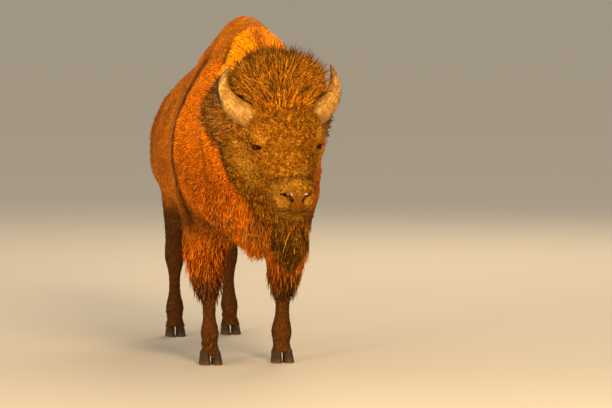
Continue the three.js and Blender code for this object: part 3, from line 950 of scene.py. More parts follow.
@dataclass
class Skin:
    """The one skin that stands for every node of flesh, without a seam."""

    voxel: float = 0.0150
    rounds: int = 26
    overlap: float = 0.0008
    coronet: float = 0.054
    # Height above the ground, and how far a leg swells or thins there
    leg_form: Table = (
        (0.050, 0.008), (0.075, 0.003), (0.100, -0.005), (0.140, 0.007), (0.175, 0.005), (0.215, -0.005),
        (0.300, -0.008), (0.360, -0.002), (0.415, 0.009), (0.455, 0.008), (0.510, -0.001), (0.600, 0.0),
    )
    horn_root: float = 0.195
    # How far the skin's unevenness rises and falls, its waves, and how deep its folds are
    uneven: float = 0.0035
    uneven_wave: Ripple = Ripple(0.16, 11)
    fold: float = 0.012
    piece: Piece = field(init=False)

    def build(self) -> Piece:
        """Makes the skin's mesh from the frame's solids.

        Returns:
            The skin.
        """
        body = copies_of((*FLESH, *EYES, *claws_of()), "skin")
        plugs = self.horn_plugs()
        choose([body, plugs])
        bpy.ops.object.join()
        self.piece = body
        set_points(body, points_of(body) + normals_of(body) * self.overlap)
        apply_modifier(body, "REMESH", mode="VOXEL", voxel_size=self.voxel, adaptivity=0.0)
        self.round_off()
        self.refine()
        self.sculpt()
        self.trim_feet()
        self.mark()
        return body

    def horn_plugs(self) -> Piece:
        """The roots of the horns, which fill their sockets in the head.

        Returns:
            The roots as one piece.
        """
        plugs = copies_of(HORNS, "horn_plugs")
        side = HEAD.axes[0]
        with editing(plugs):
            for sign in (-1, 1):
                bpy.ops.mesh.select_all(action="SELECT")
                at = HEAD.world(np.array([[sign * self.horn_root, 0.0, 0.0]]))[0]
                bpy.ops.mesh.bisect(plane_co=at, plane_no=side * sign, use_fill=True, clear_outer=True)
        return plugs

    def tree(self) -> BVHTree:
        """The skin as a surface to find the nearest places on."""
        return BVHTree.FromObject(self.piece, bpy.context.evaluated_depsgraph_get())

    def round_off(self) -> None:
        """Smooths the solids' facets away and sets the skin in by the depth of the coat."""
        links = Neighbours(self.piece)
        start, tree = points_of(self.piece), self.tree()
        _, y, z = start.T
        fine = np.maximum(PELT.at(start)["head"], step(0.80, 0.62, z))
        slim = np.maximum.reduce([PELT.ear(start), step(1.30, 1.34, y), step(0.12, 0.08, z)])
        share = (0.5 - 0.27 * fine) * (1 - 0.8 * slim)
        soft = links.relaxed(start, self.rounds, share)
        set_points(self.piece, soft)
        normals = normals_of(self.piece)
        gap = ((nearest(tree, soft) - soft) * normals).sum(1)
        lost = links.relaxed(gap, 30)
        depth = links.relaxed(PELT.depth(soft), 14)
        uneven = self.uneven * self.uneven_wave.at(soft) * (1 - fine) * (1 - slim)
        form = read_off(self.leg_form, soft[:, 2]) * step(0.62, 0.52, soft[:, 2])
        form *= step(1.30, 1.26, soft[:, 1])  # the tail keeps its own shape
        inner = soft + normals * column(lost - depth + uneven + form - self.fold * PELT.crease(soft))
        inner = inner + sum(bulge.moved(inner) for bulge in BULGES)
        set_points(self.piece, links.relaxed(inner, 8, 0.35 * (1 - slim)))

    def refine(self) -> None:
        """Divides the skin more finely where the face has small features."""
        eye = np.array(FACE.socket.centre)

        def face(local: Array) -> Array:
            """Where the face begins."""
            return (local[:, 1] > 0.19) & (local[:, 2] > -0.19) & (local[:, 1] < 0.72)

        def features(local: Array) -> Array:
            """The muzzle and the lids."""
            muzzle = (local[:, 1] > 0.515) & (local[:, 2] > -0.155)
            return muzzle | (self.reach(local, eye) < 0.062)

        def lids(local: Array) -> Array:
            """The lids, the nostrils and the lips."""
            holes = (local[:, 1] > 0.57) & (np.abs(local[:, 2] - 0.03) < 0.035)
            lips = (local[:, 1] > 0.585) & (np.abs(local[:, 2] + 0.06) < 0.02)
            return (self.reach(local, eye) < 0.046) | holes | lips

        def rims(local: Array) -> Array:
            """The edges of the lids."""
            return self.reach(local, eye) < 0.036

        for inside in (face, features, lids, rims):
            self.divide(inside)
            links = Neighbours(self.piece)
            points = points_of(self.piece)
            share = 0.4 * inside(HEAD.local(points)).astype(float)
            set_points(self.piece, links.relaxed(points, 4, share))

    @staticmethod
    def reach(local: Array, centre: Array) -> Array:
        """How far each point is from a place or its mirror image on the other side."""
        return np.linalg.norm(folded(local) - centre, axis=1)

    def divide(self, inside: Callable[[Array], Array]) -> None:
        """Splits faces in two each way.

        Args:
            inside: says which places in the head's axes lie in the part to divide.
        """
        mesh = self.piece.data
        flat = np.empty(len(mesh.polygons) * 3, np.float32)
        mesh.polygons.foreach_get("center", flat)
        picked = inside(HEAD.local(flat.reshape(-1, 3).astype(float)))
        with editing(self.piece):
            bpy.ops.mesh.select_mode(type="FACE")
            bpy.ops.mesh.select_all(action="DESELECT")
        mesh.polygons.foreach_set("select", picked)
        bpy.ops.object.mode_set(mode="EDIT")
        bpy.ops.mesh.subdivide(number_cuts=1)
        bpy.ops.object.mode_set(mode="OBJECT")

    def sculpt(self) -> None:
        """Shapes the face's features."""
        points, normals = points_of(self.piece), normals_of(self.piece)
        near = np.flatnonzero(HEAD.local(points)[:, 1] > -0.06)
        points[near] = FACE.shape(points[near], normals[near], self.tree())
        soften = np.zeros(len(points))
        soften[near] = 0.35
        set_points(self.piece, Neighbours(self.piece).relaxed(points, 3, soften))

    def trim_feet(self) -> None:
        """Cuts the legs off flat at the coronet, where the hooves begin."""
        cut = {"plane_co": (0, 0, self.coronet), "plane_no": (0, 0, 1)}
        with editing(self.piece):
            bpy.ops.mesh.bisect(**cut, use_fill=True, clear_inner=True)

    def mark(self) -> None:
        """Keeps the shares of the kinds of coat at the vertices, and unwraps the skin."""
        mesh = self.piece.data
        points = points_of(self.piece)
        shares = pelt_shares(points)
        near = np.flatnonzero(HEAD.local(points)[:, 1] > 0.40)
        shadow = np.zeros(len(points))
        shadow[near] = FACE.shadow(points[near], self.tree())
        # Painted shadow in the nostrils and mouth takes the colour of the dark skin round the eyes
        shares["rim"][:, 0] = np.maximum(shares["rim"][:, 0], shadow)
        for name, values in shares.items():
            store(mesh, name, values)
        with editing(self.piece):
            bpy.ops.uv.smart_project(angle_limit=math.radians(66), island_margin=0.002)
        mesh.uv_layers.active.name = "OFBake"
        bpy.ops.object.shade_smooth()


def pelt_shares(points: Array) -> dict[str, Array]:
    """What the materials read of the coat.

    Args:
        points: places on or near the body.

    Returns:
        Three shares for each point, by the name that the materials read.
    """
    share, bare = PELT.at(points), FACE.bare(points)
    hanging = share["tail"] * step(0.95, 0.85, points[:, 2])
    dark = np.maximum.reduce([share["beard"], hanging, 0.75 * share["crest"]])
    shin = share["fore"] * step(0.62, 0.40, points[:, 2])
    low = np.maximum.reduce([shin, share["hind"], 0.8 * share["belly"]])
    warm = np.maximum(share["cape"], share["fore"])
    tan = share["muzzle"] * (1 - 0.8 * share["jaw"])
    patchy = 0.6 * share["throat"] * step(-0.3, 0.7, Ripple(0.15, 41).at(points))
    ruff = np.maximum.reduce([share["ruff"], share["ear"], 0.7 * share["flank"], patchy])
    # Painted shade low on the cape, and the forelegs' own brown
    brown = np.maximum(share["dusk"], share["fore"])
    # Dark tips on the crown's crest, and dark tips at the head's lower edge that are partly painted shadow
    tipped = np.maximum(share["crest"], 0.9 * share["edge"])
    columns = {
        "pelt": (warm, share["crown"], share["face"]),
        "shade": (dark, low, bare["nose"]),
        "rim": (bare["rim"], tan, share["crease"]),
        # painted sunlight on the hump, the ruff, and the crest's hair, partly painted shade
        "more": (share["high"] * (1 - share["ridge"]), ruff, share["ridge"]),
        "dusk": (brown, tipped, share["brow"]),
    }
    return {name: np.stack(values, 1) for name, values in columns.items()}


# ---- materials ---------------------------------------------------------------------------------


SPAN = "ShaderNodeMapRange"  # carries a number from one range to another and holds it there
MATHS = "ShaderNodeMath"


def linear(code: str) -> tuple[float, float, float, float]:
    """An sRGB hex colour made linear.

    Args:
        code: six hex digits after a hash sign.

    Returns:
        Red, green, blue and alpha.
    """
    parts = [int(code[i : i + 2], 16) / 255 for i in (1, 3, 5)]
    made = [c / 12.92 if c <= 0.04045 else ((c + 0.055) / 1.055) ** 2.4 for c in parts]
    return made[0], made[1], made[2], 1.0


class Paint:
    """A material's node tree, and ways to add to it."""

    def __init__(self, name: str) -> None:
        """Starts a material with its surface shader.

        Args:
            name: what the real finish is.
        """
        self.material = bpy.data.materials.new(name)
        self.material.use_nodes = True
        self.tree = self.material.node_tree
        self.shader = self.tree.nodes["Principled BSDF"]

    def add(
        self, kind: str, *values: object, named: Inputs | None = None, output: int | str = 0,
        **settings: object,
    ) -> Socket:
        """Adds a node with its settings and links.

        Args:
            kind: the node's type.
            values: values or sockets for its first inputs, in order.
            named: values or sockets by the input's name or number.
            output: which of its outputs is wanted.
            settings: the node's own settings.

        Returns:
            The output.
        """
        made = self.tree.nodes.new(kind)
        for key, value in settings.items():
            setattr(made, key, value)
        for key, value in (*enumerate(values), *(named or {}).items()):
            if isinstance(value, Socket):
                self.tree.links.new(value, made.inputs[key])
            else:
                made.inputs[key].default_value = value
        return made.outputs[output]

    def laid(self, base: Socket | str, *coats: tuple[Socket, Socket | str]) -> Socket:
        """A colour with others laid over it in turn.

        Args:
            base: the colour below, as a socket or in hex.
            coats: the share that each further colour covers, and that colour.

        Returns:
            The colour that shows.
        """
        made = linear(base) if isinstance(base, str) else base
        for share, coat in coats:
            colour = linear(coat) if isinstance(coat, str) else coat
            inputs = {0: share, 6: made, 7: colour}
            made = self.add("ShaderNodeMix", named=inputs, output=2, data_type="RGBA")
        return made

    def shaded(self, colour: Socket, shade: Socket) -> Socket:
        """A colour made darker or lighter.

        Args:
            colour: the colour.
            shade: what each of its parts is multiplied by.

        Returns:
            The new colour.
        """
        grey = self.add("ShaderNodeCombineColor", shade, shade, shade)
        inputs = {0: 1.0, 6: colour, 7: grey}
        settings = {"data_type": "RGBA", "blend_type": "MULTIPLY"}
        return self.add("ShaderNodeMix", named=inputs, output=2, **settings)

    def kept(self, name: str) -> list[Socket]:
        """The three numbers that a mesh keeps at its vertices under a name."""
        made = self.add("ShaderNodeAttribute", output="Vector", attribute_name=name)
        return list(self.add("ShaderNodeSeparateXYZ", made).node.outputs)

    def mottle(self, size: Place, detail: float) -> Socket:
        """A pattern of soft blotches of a real size.

        Args:
            size: how long a blotch is along each axis, in metres.
            detail: how many finer rounds of blotches it has.

        Returns:
            The pattern, from 0 to 1.
        """
        place = self.add("ShaderNodeTexCoord", output="Object")
        inputs = {"Vector": place, "Scale": tuple(1 / length for length in size)}
        scaled = self.add("ShaderNodeMapping", named=inputs)
        return self.add("ShaderNodeTexNoise", named={"Vector": scaled, "Scale": 1.0, "Detail": detail})

    def finish(self, links: dict[str, Socket], **values: object) -> Material:
        """Links sockets to the shader and sets its constants.

        Args:
            links: sockets by the name of the shader's input.
            values: constants by that name, with _ for each space.

        Returns:
            The finished material.
        """
        for key, socket in links.items():
            self.tree.links.new(socket, self.shader.inputs[key])
        for key, value in values.items():
            self.shader.inputs[key.replace("_", " ")].default_value = value
        return self.material


@dataclass(frozen=True)
class Palette:
    """The colours of the coat."""

    short: str = "#bc6a08"
    flank: str = "#9c5206"
    cape: str = "#e07808"
    # Painted sunlight on the hump's lit patch
    high: str = "#ffa008"
    # Darker crest hair, partly painted shade of the hump's top
    ridge: str = "#ae620c"
    # Painted shade low on the cape, and the forelegs' own brown
    dusk: str = "#aa520a"
    crown: str = "#825010"
    ruff: str = "#865620"
    face: str = "#84500b"
    muzzle: str = "#7a5416"
    light: str = "#b98028"
    low: str = "#4c2c10"
    dark: str = "#33240b"
    nose: str = "#643a02"
    # Dark skin round the eyes, and painted shadow in the nostrils and mouth
    rim: str = "#180b04"
    # Painted shade in the parting, the folds and the face's wrinkles
    crease: str = "#261205"
    bleached: str = "#eaa62a"
    sooty: str = "#42240a"
    # Dark tips on the crown's crest, and partly painted shadow at the head's lower edge
    tips: str = "#2a180a"


@dataclass(frozen=True)
class CoatFinish:
    """Hair of one kind, on the skin or in tufts, in the colours that cover its place."""

    name: str
    roughness: float = 0.62
    root: float = 0.36
    tip: float = 1.25
    vary: float = 0.50
    worn: float = 0.35
    soot: float = 0.60
    pale: float = 0.40
    clump: float = 0.30
    palette: Palette = Palette()

    def colour(self, paint: Paint) -> Socket:
        """The coat's colour at each place, before any shading of single tufts.

        Args:
            paint: the material that it is for.

        Returns:
            The colour.
        """
        look = self.palette
        cape, crown, face = paint.kept("pelt")
        dark, low, nose = paint.kept("shade")
        rim, muzzle, crease = paint.kept("rim")
        high, ruff, ridge = paint.kept("more")
        dusk, _, light = paint.kept("dusk")
        broad = paint.mottle((0.34, 0.34, 0.26), 2.0)
        small = paint.mottle((0.024, 0.045, 0.024), 4.0)
        clumps = paint.mottle((0.011, 0.020, 0.011), 2.0)
        # The cape with painted sunlight on the hump, the crest's partly shaded hair and painted shade low
        # down
        wool = paint.laid(look.cape, (high, look.high), (ridge, look.ridge), (dusk, look.dusk))
        worn = paint.add(SPAN, small, 0.54, 0.80, 0.0, self.worn)
        worn = paint.add(MATHS, worn, paint.add(SPAN, low, 0.0, 1.0, 1.0, 0.15), operation="MULTIPLY")
        made = paint.laid(
            look.flank,
            (paint.add(SPAN, broad, 0.38, 0.66, 0.0, 1.0), look.short),
            (cape, wool),
            (crown, look.crown),
            (ruff, look.ruff),
            (face, look.face),
            (paint.add(MATHS, muzzle, 0.8, operation="MULTIPLY"), look.muzzle),
            (paint.add(MATHS, light, 0.9, operation="MULTIPLY"), look.light),
            (low, look.low),
            (paint.add(MATHS, dark, 0.9, operation="MULTIPLY"), look.dark),
            (worn, look.bleached),
            (paint.add(SPAN, small, 0.46, 0.24, 0.0, self.soot), look.sooty),
        )
        made = paint.shaded(made, paint.add(SPAN, clumps, 0.34, 0.66, 1 - self.clump, 1 + self.clump))
        # Painted shade in the parting, folds and wrinkles; dark eye skin, also painted shadow in nostrils
        # and mouth
        return paint.laid(made, (nose, look.nose), (crease, look.crease), (rim, look.rim))

    def tufts(self) -> Material:
        """Each tuft is darker at its root, and no two have quite the same shade.

        Returns:
            The material.
        """
        paint = Paint(self.name)
        rise, tint, tone = paint.kept("strand")
        fade = paint.add(SPAN, rise, 0.0, 0.75, self.root, self.tip)
        odd = paint.add(SPAN, tint, 0.0, 1.0, 1 - self.vary, 1 + self.vary)
        bleach = paint.add(SPAN, tone, 0.82, 1.0, 0.0, self.pale)
        made = paint.laid(self.colour(paint), (bleach, self.palette.bleached))
        made = paint.shaded(made, paint.add(MATHS, fade, odd, operation="MULTIPLY"))
        # dark tips on the crown's crest, and partly painted shadow at the head's lower edge
        _, crest, _ = paint.kept("dusk")
        ends = paint.add(SPAN, rise, 0.30, 0.85, 0.0, 0.9)
        ends = paint.add(MATHS, crest, ends, operation="MULTIPLY")
        made = paint.laid(made, (ends, self.palette.tips))
        return paint.finish({"Base Color": made}, Roughness=self.roughness, Specular_IOR_Level=0.01)

    def skin(self) -> Material:
        """The under-fur: the same markings, darker, with the fur's grain; the nose is wet leather.

        Returns:
            The material.
        """
        paint = Paint(self.name)
        _, _, nose = paint.kept("shade")
        grain = paint.mottle((0.0035, 0.016, 0.005), 2.0)
        pebble = paint.mottle((0.007, 0.010, 0.010), 3.0)
        fur = paint.add(SPAN, grain, 0.3, 0.7, 0.55, 1.0)
        hide = paint.add(SPAN, pebble, 0.36, 0.62, 0.35, 1.25)
        hide = paint.add(MATHS, nose, hide, operation="MULTIPLY")
        made = paint.shaded(self.colour(paint), paint.add(MATHS, fur, hide, operation="MAXIMUM"))
        pebble = paint.add(MATHS, pebble, 0.4, operation="MULTIPLY")
        height = paint.add("ShaderNodeMix", nose, named={2: grain, 3: pebble})
        inputs = {"Height": height, "Strength": 0.7, "Distance": 0.004}
        bump = paint.add("ShaderNodeBump", named=inputs)
        rough = paint.add(SPAN, nose, 0.0, 1.0, self.roughness, 0.35)
        moist = paint.add(SPAN, nose, 0.3, 0.6, 0.0, 1.0)
        pooled = paint.add(SPAN, nose, 0.86, 1.0, 0.04, 1.0)
        wet = paint.add(MATHS, moist, pooled, operation="MULTIPLY")
        links = {"Base Color": made, "Normal": bump, "Roughness": rough, "Coat Weight": wet}
        return paint.finish(links, Coat_Roughness=0.16, Coat_IOR=1.6, Specular_IOR_Level=0.01)


@dataclass(frozen=True)
class HornFinish:
    """Weathered horn sheath: pale and streaked along its length, the pale partly a painted highlight; dark
    at the tip, with painted shade along the outer edge.
    """

    name: str = "Horn keratin, weathered and rubbed"
    # The pale is partly worn horn and partly a painted highlight; the dark is the tip's and a painted shade
    # on the outer edge
    pale: str = "#c8a250"
    tan: str = "#7c541c"
    dark: str = "#1e140a"
    # How fast the streaks change along the horn and round it, and how close its rings are
    along: float = 5.0
    around: float = 16.0
    rings: float = 62.0

    def build(self) -> Material:
        """Streaks and rings catch the light; the dark tip and the painted shade along the outer edge frame
        the shape.

        Returns:
            The material.
        """
        paint = Paint(self.name)
        rise, edge, turn = paint.kept("horn")
        along = paint.add(MATHS, rise, self.along, operation="MULTIPLY")
        around = paint.add(MATHS, turn, self.around, operation="MULTIPLY")
        place = paint.add("ShaderNodeCombineXYZ", along, around)
        inputs = {"Vector": place, "Scale": 1.6, "Detail": 5.0}
        streak = paint.add("ShaderNodeTexNoise", named=inputs)
        blotch = paint.mottle((0.020, 0.020, 0.020), 4.0)
        fleck = paint.mottle((0.006, 0.006, 0.006), 3.0)
        made = paint.laid(
            self.tan,
            (paint.add(SPAN, streak, 0.35, 0.68, 0.0, 1.0), self.pale),
            (paint.add(SPAN, blotch, 0.44, 0.60, 0.0, 0.90), self.tan),
            (paint.add(SPAN, rise, 0.55, 0.20, 0.0, 0.40), self.tan),
            (paint.add(SPAN, fleck, 0.48, 0.60, 0.0, 0.70), self.tan),
            (paint.add(SPAN, rise, 0.80, 1.0, 0.0, 0.75), self.dark),
            # painted shade along the outer edge, drawn as a dark outline
            (paint.add(SPAN, edge, 0.42, 0.62, 0.0, 1.0), self.dark),
        )
        rings = paint.add(MATHS, rise, self.rings, operation="MULTIPLY")
        rings = paint.add(MATHS, rings, operation="SINE")
        deep = paint.add(SPAN, rise, 0.45, 0.0, 0.0, 0.6)
        rings = paint.add(MATHS, rings, deep, operation="MULTIPLY")
        height = paint.add(MATHS, streak, fleck, operation="ADD")
        height = paint.add(MATHS, height, rings, operation="ADD")
        inputs = {"Height": height, "Strength": 0.5, "Distance": 0.003}
        links = {"Base Color": made, "Normal": paint.add("ShaderNodeBump", named=inputs)}
        return paint.finish(links, Roughness=0.36, Specular_IOR_Level=0.20)


@dataclass(frozen=True)
class HoofFinish:
    """Hoof horn: near black, ringed, worn dull and dusty towards the ground."""

    name: str = "Hoof horn, grown in rings and dusty"
    dark: str = "#241a10"
    dust: str = "#5c4529"
    rings: float = 900.0  # how close its rings are

    def build(self) -> Material:
        """Rings show how the hoof grew, and the dust sets it on the ground.

        Returns:
            The material.
        """
        paint = Paint(self.name)
        place = paint.add("ShaderNodeTexCoord", output="Object")
        height = paint.add("ShaderNodeSeparateXYZ", place, output=2)
        grain = paint.mottle((0.006, 0.006, 0.030), 4.0)
        made = paint.laid(
            self.dark,
            (paint.add(SPAN, grain, 0.40, 0.75, 0.0, 0.5), self.dust),
            (paint.add(SPAN, height, 0.028, 0.0, 0.0, 0.6), self.dust),
        )
        rings = paint.add(MATHS, height, self.rings, operation="MULTIPLY")
        rings = paint.add(MATHS, rings, operation="SINE")
        rings = paint.add(MATHS, rings, 0.12, operation="MULTIPLY")
        rings = paint.add(MATHS, rings, grain, operation="ADD")
        inputs = {"Height": rings, "Strength": 0.4, "Distance": 0.002}
        links = {"Base Color": made, "Normal": paint.add("ShaderNodeBump", named=inputs)}
        return paint.finish(links, Roughness=0.58, Specular_IOR_Level=0.12)


@dataclass(frozen=True)
class EyeFinish:
    """A wet cattle eye: dark brown iris, a wide pupil and a dark edge."""

    name: str = "Eyeball, wet and glossy"
    pupil: str = "#050302"
    iris: str = "#43180a"
    white: str = "#1c0c05"

    def build(self) -> Material:
        """The gloss makes it read as wet; the warm iris shows only beside the pupil.

        Returns:
            The material.
        """
        paint = Paint(self.name)
        pupil, iris, _ = paint.kept("eye")
        made = paint.laid(
            self.iris,
            (paint.add(SPAN, iris, 0.92, 1.06, 0.0, 1.0), self.white),
            (paint.add(SPAN, pupil, 1.1, 0.85, 0.0, 1.0), self.pupil),
        )
        links = {"Base Color": made}
        return paint.finish(links, Roughness=0.14, Coat_Weight=0.08, Coat_Roughness=0.05, IOR=1.13)


@dataclass(frozen=True)
class FloorFinish:
    """A plain pale studio floor."""

    name: str = "Studio floor, matte pale paint"
    colour: str = "#b4b0a8"

    def build(self) -> Material:
        """Flat and light, so that only the animal draws the eye."""
        paint = Paint(self.name)
        return paint.finish({}, Base_Color=linear(self.colour), Roughness=0.9, Specular_IOR_Level=0.1)


# ---- the coat ----------------------------------------------------------------------------------


class Fall(Enum):
    """How a tuft carries itself."""

    LYING = (26.0, 6.0, 0.0)
    CURLED = (34.0, 8.0, 0.0)
    LOOSE = (30.0, 16.0, 0.10)
    STANDING = (66.0, 40.0, 0.0)
    HANGING = (30.0, 4.0, 0.75)
    SWEPT = (6.0, 0.0, 2.2)

    @property
    def lift(self) -> tuple[float, float]:
        """The angles in degrees at which the root and the tip stand off the skin."""
        return self.value[0], self.value[1]

    @property
    def hang(self) -> float:
        """How far the tip gives way to its weight."""
        return self.value[2]


@dataclass(frozen=True)
class Locks:
    """One kind of tuft: where it grows, how many there are and their shape."""

    name: str
    slot: Slot
    kinds: tuple[str, ...]
    apart: tuple[str, ...]
    count: int
    length: float
    width: float
    rings: int
    fall: Fall
    curl: float = 0.25
    spread: float = 0.20
    vary: float = 0.5
    sink: float = 0.003
    taper: float = 0.55


def lie_of(points: Array, normals: Array) -> Array:
    """Which way the hair lies along the skin.

    Args:
        points: places on the skin.
        normals: the skin's normals there.

    Returns:
        Directions of length one along the skin.
    """
    share = PELT.at(points)
    x, y, z = points.T
    outer = column(np.sign(x))

    def toward(way: Array, target: Array | Place, amount: Array) -> Array:
        """The lie drawn some of the way towards another."""
        aim = unit(np.atleast_2d(np.array(target, float)))
        return way + column(np.clip(amount, 0, 1)) * (aim - way)

    way = np.tile(unit(np.array([0.0, 0.93, -0.36])), (len(points), 1))
    way = toward(way, (0, 0.40, -0.92), step(0.80, 1.15, y) * step(1.55, 1.30, z))
    way = toward(way, (0, 0.96, -0.26), share["cape"])
    way = toward(way, (0, 0.45, -0.90), share["throat"])
    way = toward(way, (0, 0.12, -1.0), np.maximum(share["fore"], share["hind"]))
    way = toward(way, (0, 0.05, -1.0), share["tail"])
    local = HEAD.local(points)
    spokes = local - np.array([0.0, 0.36, 0.11])
    spokes += 0.035 * np.stack([Ripple(0.07, seed).at(points) for seed in (21, 22, 23)], 1)
    spokes = HEAD.turned(unit(spokes * np.array([1.25, 1.0, 0.6])))
    way = toward(way, spokes, share["head"])
    for sign in (-1, 1):
        beside = local - np.array(FACE.socket.centre) * flip(sign)
        round_eye = step(0.085, 0.045, np.linalg.norm(beside, axis=1))
        way = toward(way, HEAD.turned(unit(beside)), round_eye)
    outward = np.concatenate([outer, np.full_like(outer, -0.45), np.full_like(outer, -0.30)], 1)
    way = toward(way, HEAD.turned(unit(outward)), np.maximum(share["ruff"], share["ear"]))
    way = toward(way, (0, 0.20, -1.0), np.maximum(share["jaw"], share["beard"]))
    return tangent(unit(way), normals)


@dataclass
class Coat:
    """Tufts of solid hair that grow on the skin."""

    skin: Piece
    horns: list[Piece]
    patch: float = 0.003
    most: int = 190_000
    first_seed: int = 100
    # Heights between which the coat thins out above the hooves
    coronet: tuple[float, float] = (0.050, 0.060)
    # How far back and how low the horns' surroundings reach
    horn_back: float = -0.85
    horn_low: float = 1.1
    layers: tuple[Locks, ...] = (
        Locks("cape_wool", Slot.CAPE, ("cape",), ("throat",), 21000, 0.048, 0.0074, 3, Fall.LYING),
        Locks("mane", Slot.CAPE, ("throat",), (), 4800, 0.100, 0.012, 4, Fall.HANGING, 0.5),
        Locks(
            "crown_hair", Slot.BONNET, ("crown",), (), 10500, 0.084, 0.0062, 4, Fall.STANDING, 0.40, 0.30,
            vary=1.1, taper=0.8,
        ),
        Locks(
            "ruff_hair", Slot.BONNET, ("ruff", "ear"), (), 4600, 0.072, 0.0070, 4, Fall.LOOSE, 0.35, 0.35,
            vary=0.9,
        ),
        Locks(
            "face_hair", Slot.BONNET, ("face",), ("jaw",), 32500, 0.025, 0.0036, 2, Fall.CURLED, 0.45, 0.38,
        ),
        Locks("jaw_hair", Slot.BONNET, ("jaw",), (), 4000, 0.046, 0.0075, 3, Fall.LOOSE, 0.5, 0.35),
        Locks("beard_hair", Slot.BEARD, ("beard",), (), 2800, 0.120, 0.011, 5, Fall.HANGING, 0.55),
        Locks("body_hair", Slot.SHORT, ("short",), (), 12600, 0.026, 0.0060, 2, Fall.LYING, 0.2, 0.15),
        Locks("leg_hair", Slot.LEG, ("fore", "hind"), (), 5200, 0.017, 0.0044, 2, Fall.LYING),
        Locks("chaps", Slot.CAPE, ("chaps",), (), 2000, 0.085, 0.010, 4, Fall.HANGING, 0.4),
        Locks("belly_fringe", Slot.SHORT, ("belly",), (), 1500, 0.050, 0.008, 4, Fall.HANGING, 0.4),
        Locks("tail_hair", Slot.BEARD, ("switch",), (), 1000, 0.26, 0.0075, 5, Fall.SWEPT, 0.2, 0.1),
        Locks("dock_hair", Slot.SHORT, ("dock",), (), 1200, 0.035, 0.0055, 2, Fall.LYING, 0.2, 0.15),
    )

    def __post_init__(self) -> None:
        """Reads the skin's shape, shares and unwrapped corners once for all layers."""
        mesh = self.skin.data
        mesh.calc_loop_triangles()
        count = len(mesh.loop_triangles)
        self.corners = np.empty(count * 3, np.int32)
        mesh.loop_triangles.foreach_get("vertices", self.corners)
        loops = np.empty(count * 3, np.int32)
        mesh.loop_triangles.foreach_get("loops", loops)
        unwrapped = np.empty(len(mesh.loops) * 2, np.float32)
        mesh.uv_layers["OFBake"].uv.foreach_get("vector", unwrapped)
        self.corners = self.corners.reshape(-1, 3)
        self.unwrapped = unwrapped.reshape(-1, 2)[loops.reshape(-1, 3)]
        self.points, self.normals = points_of(self.skin), normals_of(self.skin)
        a, b, c = (self.points[self.corners[:, i]] for i in range(3))
        self.area = np.linalg.norm(np.cross(b - a, c - a), axis=1) / 2
        self.share = PELT.at(self.points)
        bare = FACE.bare(self.points)
        self.hairy = 1 - np.clip(np.maximum(bare["nose"], bare["lash"]) * 1.5, 0, 1)
        hollow = ((Neighbours(self.skin).relaxed(self.points, 8) - self.points) * self.normals).sum(1)
        self.hairy *= 1 - 0.9 * step(0.001, 0.004, hollow) * step(0.30, 0.22, self.points[:, 2])
        self.hairy *= step(*self.coronet, self.points[:, 2])
        graph = bpy.context.evaluated_depsgraph_get()
        self.hard = [BVHTree.FromObject(horn, graph) for horn in self.horns]

    def weight(self, locks: Locks) -> Array:
        """How thickly a layer grows.

        Args:
            locks: the layer.

        Returns:
            Its share at each vertex of the skin, from 0 to 1.
        """
        made = np.minimum(sum(self.share[kind] for kind in locks.kinds), 1.0)
        for kind in locks.apart:
            made = made * (1 - self.share[kind])
        return made * self.hairy

    def by_horns(self, points: Array) -> Array:
        """The numbers of the points that may be near a horn."""
        return np.flatnonzero((points[:, 1] < self.horn_back) & (points[:, 2] > self.horn_low))

    def clear(self, paths: Array) -> Array:
        """Which tufts stay out of the horns.

        Args:
            paths: the tufts' lines.

        Returns:
            True for each tuft that stays out.
        """
        free = np.ones(len(paths), bool)
        near = self.by_horns(paths[:, 0])
        for tree in self.hard:
            for knot in (0, paths.shape[1] // 2, -1):
                for index in near:
                    point = Vector(paths[index, knot])
                    place, normal, _, away = tree.find_nearest(point, 0.05)
                    if place is not None and (away < 0.004 or (point - place).dot(normal) < 0):
                        free[index] = False
        return free

    def grow(self, locks: Locks, finish: Material, seed: int) -> list[Piece]:
        """Grows one layer of tufts.

        Args:
            locks: the layer.
            finish: its material.
            seed: starts its random numbers.

        Returns:
            Its pieces, each small enough to handle.
        """
        rng = np.random.default_rng(seed)
        weight = self.weight(locks)
        pull = weight[self.corners].mean(1) * self.area
        count = locks.count
        along = (np.arange(count) + rng.uniform(0, 1, count)) / count * pull.sum()
        picked = np.minimum(np.searchsorted(np.cumsum(pull), along), len(pull) - 1)
        first, second = rng.uniform(0, 1, (2, count))
        fold = first + second > 1
        first, second = np.where(fold, 1 - first, first), np.where(fold, 1 - second, second)
        blend = np.stack([1 - first - second, first, second], 1)[:, :, None]
        corners = self.corners[picked]
        roots = (self.points[corners] * blend).sum(1)
        normals = unit((self.normals[corners] * blend).sum(1))
        thick = (weight[corners] * blend[:, :, 0]).sum(1)
        places = (self.unwrapped[picked] * blend).sum(1)
        paths = self.paths(locks, rng, roots, normals, thick)
        free = self.clear(paths)
        return self.pieces(locks, rng, paths[free], normals[free], places[free], finish)

